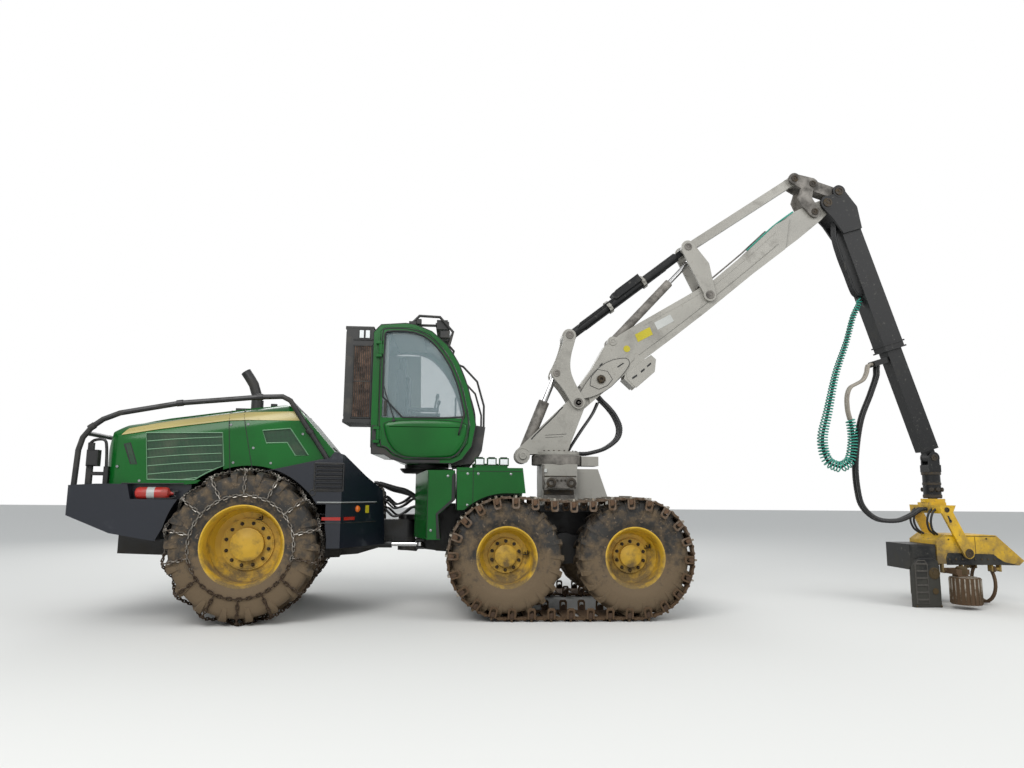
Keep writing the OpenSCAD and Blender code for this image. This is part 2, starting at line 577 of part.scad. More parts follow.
module cab_door() color(green) difference() {
  union() {
    difference() {
      side_panel(door_outline, 0, -cab_half_w - 20, -cab_half_w + cab_wall);
      slab(cab_window, -cab_half_w - 40, -cab_half_w + cab_wall + 1);
      for (z = hinge_z) translate([hinge_at[0], hinge_at[1], z - 46]) cylinder(r = 30, h = hinge_h + 92);
    }
    for (z = hinge_z) translate([hinge_at[0], hinge_at[1], z]) {
      cylinder(r = 22, h = hinge_h);
      translate([0, 0, 0]) cube([40, 22, hinge_h]);
    }
  }
  for (z = hinge_z) translate([hinge_at[0], hinge_at[1], z - 50]) cylinder(r = 12 + fit, h = hinge_h + 100);
}
// Door hinges: axis in plan, heights and length of the barrels
hinge_at = [-2325, -cab_half_w - 32];
hinge_z = [2080, 3150];
hinge_h = 120;
module door_glass() color([0.7, 0.8, 0.85, 0.4])
  side_panel(cab_window, -0.3, -cab_half_w + 24 - glass_t, -cab_half_w + 24);

// Steering cylinders, drawn for the right side

module steer_line(y) {
  foot = [joint_x + steer_foot[0] * cos(rest_steer) - y * steer_foot[1] * sin(rest_steer),
    steer_foot[0] * sin(rest_steer) + y * steer_foot[1] * cos(rest_steer)];
  eye = [steer_eye[0], y * steer_eye[1]];
  translate([foot[0], foot[1], steer_z]) rotate([0, 0, atan2(eye[1] - foot[1], eye[0] - foot[0])]) children();
}
function steer_length(y) = norm([steer_eye[0], y * steer_eye[1]] - [joint_x + steer_foot[0] * cos(rest_steer)
  - y * steer_foot[1] * sin(rest_steer), steer_foot[0] * sin(rest_steer) + y * steer_foot[1] * cos(rest_steer)]);
module steer_barrel(y) color(steel) steer_line(y) difference() {
  union() {
    translate([0, 0, -33]) cylinder(r = 50, h = 66);
    box([0, -30, -30], [120, 30, 30]);
    rod_x([0, 0], 48, 80, 560);
  }
  translate([0, 0, -50]) cylinder(r = 22 + fit, h = 100);
  rod_x([0, 0], 28 + fit, 110, 561);
}
module steer_rod(y) color(crane_grey) steer_line(y) {
  rod_x([0, 0], 28, steer_length(y) - 500, steer_length(y) - 30);
  translate([steer_length(y), 0, -22]) difference() {
    cylinder(r = 48, h = 44);
    translate([0, 0, -1]) cylinder(r = 28, h = 46);
  }
}

// Crane

module crane_pillar() color(crane_grey) difference() {
  union() {
    translate([slew_x, 0, 1955]) cylinder(r = 300, h = 40);
    translate([slew_x, 0, 1850]) cylinder(r = spigot_r, h = 110);
    both() {
      slab([[-400, 1960], [105, 1960], [355, 2600], [190, 2740], [-560, 2010]], -150, -110);
      pin(lift_foot, 95, -150, -110);
      pin(hub, 110, -150, -110);
    }
    slab([[-250, 1960], [105, 1960], [262, 2380], [120, 2330], [-100, 2120]], -111, 111);
    pin(hub, 50, -200, 200);
    pin(lift_foot, 36, -160, 160);
  }
}
module lift_barrel() color(black) difference() {
  union() {
    pin(lift_foot, 70, -90, 90);
    ram(lift_foot, rocker_mid, lift_r, 40, 800);
  }
  pin(lift_foot, 36 + fit, -100, 100);
  ram(lift_foot, rocker_mid, 42 + fit, 110, 801);
}
module lift_rod() color(crane_grey) difference() {
  union() {
    ram(rocker_mid, lift_foot, 42, 30, 760);
    pin(rocker_mid, 62, -70, 70);
  }
  pin(rocker_mid, 36, -71, 71);
}
module main_boom() color(crane_grey) difference() {
  union() {
    difference() {
      slab([[420, 2640], [1040, 3165], [1552, 3554], [2081, 3970], [2759, 4530], [3250, 4910], [3330, 5380], [3125, 5270],
        [2636, 4806], [2193, 4428], [1823, 4201], [1103, 3772], [860, 3620], [640, 3450], [470, 3150], [290, 2900]],
        -boom_half_w, boom_half_w);
      pin(hub, 165, -200, 200);
    }
    slab([[330, 2560], [700, 2880], [500, 3100], [210, 2750]], -104, 104);
    pin(hub, 104, -104, 104);
    // Narrow end at the knuckle
    slab([[3200, 4880], [3452, 5069], [3800, 5360], [3960, 5520], [3970, 5650], [3900, 5700], [3640, 5600], [3436, 5490], [3200, 5320]],
      -90, 90);
    pin(knuckle, 95, -90, 90);
    pin(jib_lug, 75, -boom_half_w, boom_half_w);
    // Cheek plates with the big nut at the boom's root
    both() {
      link([578, 2981], [980, 3300], 150, 60, -boom_half_w - 14, -boom_half_w);
      pin([578, 2981], 62, -boom_half_w - 36, -boom_half_w);
    }
    // Valve cover under the root
    slab([[900, 3000], [930, 3110], [1150, 3290], [1180, 3280], [1300, 3150], [1030, 2880]], -130, 130);
  }
  pin(hub, 50 + fit, -300, 300);
  bar(jib_lug, jib_lug + 760 * unit(jib_eye - jib_lug), 100, 100, -86, 86);
  pin(jib_lug, 95, -86, 86);
  bar(jib_lug + [-140, 40], jib_lug + [300, 420], 80, 80, -86, 86);
  pin(plate_foot, 45 + fit, -300, 300);
  pin(shoe_foot, 40 + fit, -300, 300);
  pin(knuckle, 45 + fit, -300, 300);
}
module jib_pin() pin(jib_lug, 35, -boom_half_w, boom_half_w);
module rocker() color(crane_grey) {
  difference() {
    both() {
      slab([hub + [60, 60], rocker_top + [80, 0], rocker_top + [-80, 0], rocker_mid + [-60, 45], rocker_mid + [-30, -65],
        hub + [-90, 10]], -195, -155);
      pin(hub, 95, -195, -155);
      pin(rocker_mid, 78, -195, -155);
      pin(rocker_top, 88, -195, -155);
    }
    pin(hub, 50 + fit, -300, 300);
  }
  both() pin(rocker_mid, 34, -156, -78);
  pin(rocker_top, 34, -156, 156);
}
module tie_tube() color(black) difference() {
  union() {
    length = norm(plate_top - rocker_top);
    pin(rocker_top, 86, -145, 145);
    ram(rocker_top, plate_top, tie_r, 60, length - 170);
    bar(rocker_top, plate_top, 40, 40, -36, 36);
    pin(plate_top, 72, -36, 36);
    for (s = [700, 1310]) ram(rocker_top, plate_top, tie_r + 16, s, s + 60);
    // Sheet cover over the tube
    translate([rocker_top[0], 0, rocker_top[1]]) rotate([0, -atan2(plate_top[1] - rocker_top[1], plate_top[0] - rocker_top[0]), 0])
      box([860, -95, 20], [1330, 95, 120]);
  }
  pin(rocker_top, 34 + fit, -200, 200);
  pin(plate_top, 44, -200, 200);
}
module link_plates() color(crane_grey) {
  both() difference() {
    union() {
      slab([plate_foot + [80, 20], plate_foot + [-80, 0], plate_top + [-88, -60], plate_top + [60, 70], [2120, 4650]], -176, -140);
      pin(plate_foot, 88, -176, -140);
      pin(plate_top, 92, -176, -140);
    }
  }
  both() {
    pin(plate_top, 40, -150, -42);
    pin(jib_eye, 40, -150, -66);
  }
  pin(plate_foot, 45, -176, 176);
}
module jib_barrel() color(black) difference() {
  union() {
    pin(jib_lug, 66, -80, 80);
    ram(jib_lug, jib_eye, jib_r, 40, 1220);
  }
  pin(jib_lug, 35 + fit, -100, 100);
  ram(jib_lug, jib_eye, 34 + fit, 110, 1221);
}
module jib_rod() color(steel) difference() {
  union() {
    ram(jib_eye, jib_lug, 34, 30, 900);
    pin(jib_eye, 64, -58, 58);
  }
  pin(jib_eye, 36, -59, 59);
}
module square_rod() color(crane_grey) difference() {
  length = norm(shoe_head - plate_top);
  union() {
    translate([plate_top[0], 0, plate_top[1]]) rotate([0, -atan2(shoe_head[1] - plate_top[1], shoe_head[0] - plate_top[0]), 0]) {
      box([150, -rod_half, -rod_half], [length - 60, rod_half, rod_half]);
      both() box([8, -92, -58], [220, -48, 58]);
    }
    both() pin(plate_top, 76, -94, -46);
    pin(shoe_head, 74, -rod_half - 3, rod_half + 3);
  }
  pin(plate_top, 40 + fit, -200, 200);
  pin(shoe_head, 36, -200, 200);
}
module horseshoe_link() color(steel) {
  both() {
    slab([shoe_foot + [40, -70], shoe_foot + [-60, -60], [3530, 5560], [3475, 5690], [3520, 5830], shoe_head + [-60, -60],
      shoe_head + [-30, 80], shoe_pin + [30, 85], shoe_pin + [80, -30], [3700, 5800], [3680, 5690], shoe_foot + [40, 80]],
      -132, -98);
    pin(shoe_foot, 84, -132, -98);
    pin(shoe_head, 84, -132, -98);
    pin(shoe_pin, 84, -132, -98);
    pin(shoe_head, 32, -99, -68);
  }
  pin(shoe_foot, 40, -132, 132);
  pin(shoe_pin, 36, -132, 132);
}
module short_link() color(steel) difference() {
  link(shoe_pin, stick_pin, 80, 80, -88, 88);
  pin(shoe_pin, 36 + fit, -100, 100);
  pin(stick_pin, 40, -100, 100);
}
// The stick's own frame: local X along the stick towards its tip, local Z away from the machine
stick_dir = unit([tip[0], tip[1]] - stick_root);
module in_stick() translate([stick_root[0], 0, stick_root[1]]) rotate([0, atan2(-stick_dir[1], stick_dir[0]), 0]) children();
function stick_uw(p) = let (v = p - stick_root) [v * stick_dir, v[0] * -stick_dir[1] + v[1] * stick_dir[0]];
stick_end = 1606;
module stick() color(black) {
  hd = stick_box[0];
  hw = stick_box[1];
  difference() {
    union() {
      in_stick() {
        difference() {
          box([-380, -hw, -hd], [stick_end, hw, hd]);
          box([-340, -hw + stick_wall, -hd + stick_wall], [stick_end + 1, hw - stick_wall, hd - stick_wall]);
        }
        for (x = [stick_end - 100, stick_end - 20]) difference() {
          box([x, -hw - 18, -hd - 18], [x + 20, hw + 18, hd + 18]);
          box([x - 1, -hw + 1, -hd + 1], [x + 21, hw - 1, hd - 1]);
        }
        // Slide pads round the extension, at the mouth and deep inside
        for (x = [-150, stick_end - 60]) {
          for (s = [-1, 1]) {
            box([x, s > 0 ? extension_box[1] + 0.4 : -hw + 5, -70], [x + 60, s > 0 ? hw - 5 : -extension_box[1] - 0.4, 70]);
            box([x, -70, s > 0 ? extension_box[0] + 0.4 : -hd + 5], [x + 60, 70, s > 0 ? hd - 5 : -extension_box[0] - 0.4]);
          }
        }
      }
      both() {
        in_stick() slab([[-780, 95], [-500, 190], [-180, 145], [-180, -145], [-420, -210], [-640, -316], [-760, -260]], -174, 2 - hw);
        pin(knuckle, 100, -177, -139);
        pin(stick_pin, 92, -177, -139);
      }
    }
  }
  pin(knuckle, 45, -180, 180);
  both() pin(stick_pin, 38, -150, -96);
}
module extension() color(black) difference() {
  union() {
    in_stick() box([-250, -extension_box[1], -extension_box[0]], [norm(tip - stick_root) - 110, extension_box[1], extension_box[0]]);
    in_stick() box([norm(tip - stick_root) - 120, -58, -66], [norm(tip - stick_root) - 10, 58, 66]);
    pin(tip, 78, -60, 60);
    // Bracket that carries the hoses along with the extension
    in_stick() box([1680, -80, -330], [1760, 80, -extension_box[0] + 1]);
  }
  pin(tip, 34 + fit, -200, 200);
}
module hanger() color(black) {
  both() {
    pin(tip, 80, -98, -66);
    box([tip[0] - 75, -98, tip[1] - 190], [tip[0] + 75, -66, tip[1]]);
  }
  pin(tip, 34, -98, 98);
  box([tip[0] - 90, -98, 1780], [tip[0] + 90, 98, 1880]);
  translate([tip[0], 0, 1420]) cylinder(r = 112, h = 362);
  translate([tip[0], 0, 1372]) cylinder(r = 60, h = 50);
}

// Harvesting head

module tilt_frame() color("gold") {
  difference() {
    union() {
      translate([tip[0], 0, 1365]) cylinder(r = 150, h = 50);
      box([5120, -150, 1325], [5340, 150, 1366]);
      slab([[5120, 1330], [5340, 1330], [5290, 1220], [5130, 1220]], -345, 345);
    }
    translate([tip[0], 0, 1371]) cylinder(r = 60 + fit, h = 60);
  }
  both() {
    slab([[5130, 1250], [5290, 1250], tilt_pin + [66, 30], tilt_pin + [-60, -40]], -345, -310);
    pin(tilt_pin, 72, -345, -310);
    pin(tilt_pin, 40, -345, -240);
  }
}
// Pivots of the knives and of the feed arms: Y and Z, pin radius
knife_pivot = [-250, 488];
arm_pivot = [-270, 472];
module head_frame() color("gold") {
  difference() {
    slab([[5060, 560], [5060, 860], [5180, 940], [5900, 935], [6275, 600], [6200, 540]], -head_half_w, head_half_w);
    pin(tilt_pin, 40 + fit, -400, 400);
    box([5120, -239, 500], [5800, 239, 760]);
  }
  both() {
    for (x = [5120, 5386]) box([x, arm_pivot[0] - 28, arm_pivot[1] - 30], [x + 24, -240, 561]);
    for (x = [5820, 5936]) box([x, knife_pivot[0] - 30, knife_pivot[1] - 32], [x + 24, knife_pivot[0] + 50, 552]);
    rod_x(arm_pivot, 22, 5121, 5409);
    rod_x(knife_pivot, 24, 5821, 5959);
  }
}
module head_works() color(black) {
  box([4693, -300, 480], [5060, 300, 811]);
  box([4693, -340, 0], [5060, -240, 560]);
}
module feed_arm() color(steel) difference() {
  union() {
    rod_x(arm_pivot, 36, 5152, 5378);
    slab([[5180, 438], [5360, 438], [5360, 505], [5180, 505]], -roller_y - 60, arm_pivot[0]);
    box([5200, -roller_y - 60, 395], [5340, -roller_y + 60, 450]);
    translate([5270 + 60, -roller_y, 60]) cylinder(r = roller_r, h = 340);
  }
  rod_x(arm_pivot, 22 + fit, 5100, 5600);
}
knife_c = 300;
knife_ring = [250, 285];
module knife(x0) color(steel) difference() {
  union() {
    rod_x(knife_pivot, 40, x0, x0 + 30);
    translate([x0, 0, knife_c]) rotate([90, 0, 90]) linear_extrude(30)
      polygon([for (a = [138 : 142 / 14 : 281]) knife_ring[1] * [cos(a), sin(a)],
        for (a = [280 : -142 / 14 : 137]) knife_ring[0] * [cos(a), sin(a)]]);
  }
  rod_x(knife_pivot, 24 + fit, 5800, 6000);
}

// Hoses

// A hose: straight out of its first end and into its last, and a smooth run between
module hose(first, middle, last, r) tube(concat([first], spline(middle, 3), [last]), r, 8);
function on_stick(u, w, y) = [stick_root[0] + u * stick_dir[0] - w * stick_dir[1], y, stick_root[1] + u * stick_dir[1] + w * stick_dir[0]];
function off_rim(y, out) = [slew_x + (300 + out) * cos(asin(y / 300)), (300 + out) * y / 300, 1977];
module pillar_hoses() color(black) for (y = [-60, 0, 60])
  hose(off_rim(y, 0.3), [off_rim(y, 45), [430, y * 1.35, 1986], [640, y * 1.6, 2050],
    [810, y * 1.6, 2180], [850, y * 1.6, 2330], [790, y * 1.4, 2490], [700, y * 1.2, 2610], [613, y, 2697.6]],
    [561.3, y, 2757.6], 22);
module stick_hoses() color(black) {
  for (y = [-45, 45]) hose(on_stick(758, -stick_box[0] - 0.5, y),
    [on_stick(758, -185, y), [4270, y, 4180], [4119, y, 3913], [3819, y, 2949], [3638, y, 2341],
    [3620, y, 2029], [3796, y, 1856], [3959, y, 1952], [4016, y, 2429], [4055, y, 2843], [4200, y, 3130], on_stick(1718, -390, y)],
    on_stick(1718, -330.5, y), 24);
  for (y = [-40, 40]) hose(on_stick(1760.5, -270, y),
    [on_stick(1800, -270, y), [4540, y, 3110], [4440, y, 2860], [4270, y, 2460], [4167, y, 1900], [4190, y, 1300],
    [4444, y, 1115], [4700, y, 1120], [4902, y, 1190], [5040, y, 1262], [5085, y, 1275]], [5119.2, y, 1275], 24);
}

module at_origin() translate([origin_shift[0], origin_shift[1], 0]) children();

at_origin() front_chassis();
at_origin() bogie_cases();
at_origin() front_rims();
at_origin() front_tyres();
at_origin() bogie_tracks();
at_origin() tank_boxes();
at_origin() front_lamps();
at_origin() crane_base();
at_origin() rear_chassis();
at_origin() engine();
at_origin() hood();
at_origin() hood_grilles();
at_origin() rear_panels();
at_origin() guard_rail();
at_origin() exhaust();
at_origin() extinguisher();
at_origin() rear_lamps();
at_origin() rear_rim();  // rear_rim_right
at_origin() rear_tyre();  // rear_tyre_right
at_origin() rear_mirror() rear_rim();  // rear_rim_left
at_origin() rear_mirror() rear_tyre();  // rear_tyre_left
at_origin() cab_shell();
at_origin() cab_glass();
at_origin() cab_lamps();
at_origin() cab_guards();
at_origin() cab_interior();
at_origin() cab_intake();
at_origin() cab_door();
at_origin() door_glass();
at_origin() steer_barrel(-1);  // steer_barrel_right
at_origin() steer_rod(-1);  // steer_rod_right
at_origin() steer_barrel(1);  // steer_barrel_left
at_origin() steer_rod(1);  // steer_rod_left
at_origin() crane_pillar();
at_origin() lift_barrel();
at_origin() lift_rod();
at_origin() {
  main_boom();
  jib_pin();
}
at_origin() rocker();
at_origin() tie_tube();
at_origin() link_plates();
at_origin() jib_barrel();
at_origin() jib_rod();
at_origin() square_rod();
at_origin() horseshoe_link();
at_origin() short_link();
at_origin() stick();
at_origin() extension();
at_origin() hanger();
at_origin() tilt_frame();
at_origin() head_frame();
at_origin() head_works();
at_origin() knife(5850);  // knife_right
at_origin() mirror([0, 1, 0]) knife(5900);  // knife_left
at_origin() feed_arm();  // feed_arm_right
at_origin() mirror([0, 1, 0]) feed_arm();  // feed_arm_left
at_origin() pillar_hoses();
at_origin() stick_hoses();
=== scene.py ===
# %% [markdown]
# # A timber harvester in the forest's mud
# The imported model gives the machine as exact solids. This script loads it as a fixed frame, gives every
# solid a finish, and adds what is too fine for a construction drawing: tread, chains, seams, lamps, hoses.
# All lengths below are written in millimetres, as on a drawing, and turned to metres once.

# %% Load the frame
import math
import bmesh
import bpy
import numpy as np
from mathutils import Matrix


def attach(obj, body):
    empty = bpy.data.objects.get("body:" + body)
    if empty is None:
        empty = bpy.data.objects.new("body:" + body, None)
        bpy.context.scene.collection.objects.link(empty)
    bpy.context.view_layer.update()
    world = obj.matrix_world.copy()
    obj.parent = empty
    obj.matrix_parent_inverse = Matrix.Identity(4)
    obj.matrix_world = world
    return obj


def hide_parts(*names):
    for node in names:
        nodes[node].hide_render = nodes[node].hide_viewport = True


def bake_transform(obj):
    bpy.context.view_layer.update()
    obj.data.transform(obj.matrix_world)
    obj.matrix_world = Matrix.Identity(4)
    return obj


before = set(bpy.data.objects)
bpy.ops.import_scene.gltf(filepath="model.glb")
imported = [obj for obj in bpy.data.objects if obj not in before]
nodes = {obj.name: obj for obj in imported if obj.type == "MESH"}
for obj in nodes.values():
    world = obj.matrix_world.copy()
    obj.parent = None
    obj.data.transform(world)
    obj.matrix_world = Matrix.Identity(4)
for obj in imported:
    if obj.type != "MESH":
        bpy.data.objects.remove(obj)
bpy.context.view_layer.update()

# %% [markdown]
# ## Where things are
# The drawing measures the front frame from the middle of the bogie on the ground. The rear frame is turned
# a little about the articulation joint, as the machine was parked. Small functions turn such millimetres
# into the metres of the frame, for the right side alone or with its mirror image, so a piece can be written
# down as its maker would. A part is a pair: an array of points and a list of arrays of faces.

# %% Frames of the machine
SHIFT = np.array([-250.0, 162.0, 0.0])
JOINT_X = -1994.0
STEER = math.radians(5.85)


def front(points):
    """Millimetres of the front frame to metres: the shift is added, and the sum divided by a thousand."""
    return (np.asarray(points, float) + SHIFT) / 1000


def rear(points):
    """Millimetres of the rear frame to metres: turned by the steering angle about Z at the joint."""
    x, y, z = np.moveaxis(np.asarray(points, float), -1, 0)
    return front(np.stack([JOINT_X + x * math.cos(STEER) - y * math.sin(STEER),
                           x * math.sin(STEER) + y * math.cos(STEER), z], -1))


def at_front(parts):
    """Each part from millimetres of the front frame to metres."""
    return [(front(p), f) for p, f in parts]


def at_rear(parts):
    """Each part from millimetres of the rear frame to metres."""
    return [(rear(p), f) for p, f in parts]


def with_mirror(parts):
    """Each part of the right side, followed by its mirror image on the left: Y changes its sign."""
    return [(q, f) for p, f in parts for q in (p, np.asarray(p, float) * (1, -1, 1))]


def on_both(parts):
    """The parts of the front frame's right side and their mirror images, in metres."""
    return at_front(with_mirror(parts))


def both_sides(parts):
    """The parts of the rear frame's right side and their mirror images, in metres."""
    return at_rear(with_mirror(parts))


# %% [markdown]
# ## Surfaces from arrays
# Each new piece is a grid of points worked out at once with numpy: a profile carried along a path, or an
# outline given a thickness. A piece joins its parts into one mesh. Its faces are shaded smooth, and an edge
# stays sharp where two faces meet at more than 35 degrees. Every part is a closed shell, so Blender can turn
# all its faces outwards.

# %% Grids, tubes, plates
UP = (0, 0, 1)
SHARP_PIECE, SHARP_NODE = math.radians(35), math.radians(30)


def grid(rows, columns, loop_rows=False, loop_columns=False):
    """The quads of a grid of points: each joins a point to its right, diagonal and lower neighbour."""
    i, j = np.meshgrid(np.arange(rows - (not loop_rows)), np.arange(columns - (not loop_columns)),
                       indexing="ij")
    k, m = (i + 1) % rows, (j + 1) % columns
    return np.stack([i * columns + j, i * columns + m, k * columns + m, k * columns + j], -1).reshape(-1, 4)


def stacked(rings, corners):
    """The faces of a stack of rings, each of so many corners, with a lid on both ends."""
    lid = np.arange(corners)[None]
    return [grid(rings, corners, loop_columns=True), lid, (rings - 1) * corners + lid]


def unit(vectors):
    """Each row over its own length."""
    return vectors / np.linalg.norm(vectors, axis=1)[:, None]


def piece(name, parts, finish, body, replaces=()):
    """Joins parts into one object that rides on a body of the machine."""
    starts = np.cumsum([0] + [len(p) for p, f in parts[:-1]])
    points = np.concatenate([np.asarray(p, float).reshape(-1, 3) for p, f in parts])
    faces = [np.asarray(f) + s for (p, lists), s in zip(parts, starts) for f in lists]
    sizes = np.concatenate([np.full(len(f), f.shape[1]) for f in faces])
    corners = np.concatenate([f.ravel() for f in faces])
    mesh = bpy.data.meshes.new(name)
    mesh.vertices.add(len(points))
    mesh.vertices.foreach_set("co", points.astype(np.float32).ravel())
    mesh.loops.add(len(corners))
    mesh.loops.foreach_set("vertex_index", corners.astype(np.int32))
    mesh.polygons.add(len(sizes))
    mesh.polygons.foreach_set("loop_start", (np.cumsum(sizes) - sizes).astype(np.int32))
    mesh.update(calc_edges=True)
    shell = bmesh.new()
    shell.from_mesh(mesh)
    bmesh.ops.recalc_face_normals(shell, faces=shell.faces)
    shell.to_mesh(mesh)
    shell.free()
    mesh.polygons.foreach_set("use_smooth", np.ones(len(sizes), bool))
    mesh.set_sharp_from_angle(angle=SHARP_PIECE)
    mesh.materials.append(finish)
    made = bpy.data.objects.new(name, mesh)
    bpy.context.collection.objects.link(made)
    if body:
        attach(made, body)
    if replaces:
        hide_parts(*replaces)
    return made


def repeat(part, turns, offsets, at=None):
    """The part once at every place: its points times each 3 x 3 matrix, plus each offset."""
    points, lists = part
    offsets = np.asarray(offsets, float)
    turns = np.broadcast_to(turns, (len(offsets), 3, 3))
    many = (np.einsum("nij,pj->npi", turns, points) + offsets[:, None, :]).reshape(-1, 3)
    shift = (np.arange(len(offsets)) * len(points))[:, None, None]
    return (many if at is None else at(many)), [(f[None] + shift).reshape(-1, f.shape[1]) for f in lists]


def at_y(outline, y):
    """An outline in X and Z as points at one Y."""
    p = np.asarray(outline, float)
    return np.stack([p[:, 0], np.full(len(p), float(y)), p[:, 1]], -1)


def anticlockwise(outline):
    """The outline as an array, turned round if the sum of x0 z1 - x1 z0 over its edges is below 0."""
    p = np.asarray(outline, float)
    area = np.sum(p[:, 0] * np.roll(p[:, 1], -1) - np.roll(p[:, 0], -1) * p[:, 1])
    return p[::-1] if area < 0 else p


def inset(outline, d):
    """The outline moved inwards: each corner by d times its two edges' normals over one plus their cosine."""
    p = anticlockwise(outline)
    edge = np.roll(p, -1, 0) - p
    normal = unit(np.stack([edge[:, 1], -edge[:, 0]], -1))
    before = np.roll(normal, 1, 0)
    return p - d * (normal + before) / (1 + np.sum(normal * before, 1))[:, None]


def plate(outline, y0, y1, bevel=3.0, at=None):
    """A flat plate in X and Z, as thick as y1 - y0, with its edges cut at 45 degrees."""
    p = anticlockwise(outline)
    inner = inset(p, bevel)
    points = np.concatenate([at_y(inner, y0), at_y(p, y0 + bevel), at_y(p, y1 - bevel), at_y(inner, y1)])
    return (points if at is None else at(points)), stacked(4, len(p))


def block(low, high, bevel):
    """A box with its edges cut: a plate of its X and Z sides, as thick as its Y."""
    (x0, y0, z0), (x1, y1, z1) = low, high
    return plate([(x0, z0), (x1, z0), (x1, z1), (x0, z1)], y0, y1, bevel)


def tube(path, radius, corners, closed=False):
    """A round tube along a path: a ring of corners at each point, square to the path.

    The ring's first direction is carried from point to point by taking away what lies along the path.
    radius is one number or one for each point, so a corrugated hose is a tube with a wavy radius.
    """
    path = np.asarray(path, float)
    n = len(path)
    ahead = unit(np.roll(path, -1, 0) - np.roll(path, 1, 0) if closed else np.gradient(path, axis=0))
    across = np.empty_like(path)
    first = np.array([0, 1.0, 0]) if abs(ahead[0][1]) < 0.9 else np.array([1.0, 0, 0])
    for i in range(n):
        first = first - ahead[i] * first.dot(ahead[i])
        first /= np.linalg.norm(first)
        across[i] = first
    over = np.cross(ahead, across)
    angle = np.linspace(0, 2 * np.pi, corners, endpoint=False)
    r = np.broadcast_to(radius, n)[:, None, None]
    points = path[:, None] + r * (np.cos(angle)[None, :, None] * across[:, None]
                                  + np.sin(angle)[None, :, None] * over[:, None])
    return points.reshape(-1, 3), [grid(n, corners, True, True)] if closed else stacked(n, corners)


def smooth(points, steps):
    """A Catmull-Rom curve: a smooth cubic through each pair of points, led by their neighbours."""
    p = np.asarray(points, float)
    a, b, c, d = (p[np.clip(np.arange(len(p) - 1) + k, 0, len(p) - 1)][:, None] for k in (-1, 0, 1, 2))
    t = np.linspace(0, 1, steps, endpoint=False)[None, :, None]
    run = 0.5 * (2 * b + (c - a) * t + (2 * a - 5 * b + 4 * c - d) * t ** 2
                 + (3 * b - a - 3 * c + d) * t ** 3)
    return np.concatenate([run.reshape(-1, p.shape[1]), p[-1:]])


def turned(profile, steps, place=(0, 0, 0), towards=(0, -1, 0)):
    """A lathe shape about the line from place towards a direction.

    Each profile point (radius, distance along the line) is carried once round the line. The profile is a
    closed loop of such points, or an open one that starts and ends on the line.
    """
    profile = np.asarray(profile, float)
    axis = np.asarray(towards, float) / np.linalg.norm(towards)
    u = np.cross(axis, [0, 0, 1.0] if abs(axis[2]) < 0.9 else [1.0, 0, 0])
    u /= np.linalg.norm(u)
    v = np.cross(axis, u)
    on_line = profile[0, 0] == 0 and profile[-1, 0] == 0
    rings = profile[1:-1] if on_line else profile
    angle = np.linspace(0, 2 * np.pi, steps, endpoint=False)
    points = (rings[:, None, :1] * (np.cos(angle)[None, :, None] * u + np.sin(angle)[None, :, None] * v)
              + rings[:, None, 1:] * axis).reshape(-1, 3)
    lists = [grid(len(rings), steps, not on_line, True)]
    if on_line:
        n = len(points)
        points = np.concatenate([points, [profile[0, 1] * axis, profile[-1, 1] * axis]])
        k = np.arange(steps)
        lists += [np.stack([np.full(steps, n), k, (k + 1) % steps], -1),
                  np.stack([np.full(steps, n + 1), (len(rings) - 1) * steps + (k + 1) % steps,
                            (len(rings) - 1) * steps + k], -1)]
    return points + np.asarray(place, float), lists


def sleeve(inner, outer, low, high, steps, place=(0, 0, 0), towards=(0, -1, 0)):
    """A lathe shape with a rectangular section: a sleeve or ring, or a round bar if the inner radius is 0."""
    return turned([(inner, low), (outer, low), (outer, high), (inner, high)], steps, place, towards)


def bolts(places, radius, height, towards=(0, -1, 0)):
    """Hexagon bolt heads with a slightly domed top, each at its place and pointing the same way."""
    profile = [(0, 0), (radius, 0), (radius, height * 0.85), (radius * 0.86, height), (0, height)]
    return repeat(turned(profile, 6, (0, 0, 0), towards), np.eye(3), places)


def ring_places(count, radius, centre, phase=0.0):
    """Places evenly round a circle in X and Z about a centre."""
    a = np.linspace(0, 2 * np.pi, count, endpoint=False) + phase
    return np.asarray(centre, float) + np.stack([radius * np.cos(a), 0 * a, radius * np.sin(a)], -1)


print("helpers ready")

# %% [markdown]
# ## Smooth shading on the drawing's solids
# A solid comes as loose flat triangles. Two modifiers, which leave its own mesh alone, make round faces look
# round: one welds the triangles together, and a small node tree shades them smooth except at sharp edges.

# %% Shading of the CAD nodes
def smooth_by_angle():
    """A node group: faces smooth, edges of more than 30 degrees sharp."""
    group = bpy.data.node_groups.new("smooth_by_angle", "GeometryNodeTree")
    group.interface.new_socket("Geometry", in_out="INPUT", socket_type="NodeSocketGeometry")
    group.interface.new_socket("Geometry", in_out="OUTPUT", socket_type="NodeSocketGeometry")
    start, end, angle, compare, faces, edges = (group.nodes.new(kind) for kind in (
        "NodeGroupInput", "NodeGroupOutput", "GeometryNodeInputMeshEdgeAngle", "FunctionNodeCompare",
        "GeometryNodeSetShadeSmooth", "GeometryNodeSetShadeSmooth"))
    compare.operation = "LESS_THAN"
    compare.inputs["B"].default_value = SHARP_NODE
    edges.domain = "EDGE"
    link = group.links.new
    link(angle.outputs["Unsigned Angle"], compare.inputs["A"])
    link(start.outputs[0], faces.inputs["Geometry"])
    link(faces.outputs[0], edges.inputs["Geometry"])
    link(compare.outputs[0], edges.inputs["Shade Smooth"])
    link(edges.outputs[0], end.inputs[0])
    return group


WELD_METRES = 0.00005
by_angle = smooth_by_angle()
for solid in nodes.values():
    solid.modifiers.new("weld", "WELD").merge_threshold = WELD_METRES
    solid.modifiers.new("shading", "NODES").node_group = by_angle
print("smooth shading on", len(nodes), "nodes")

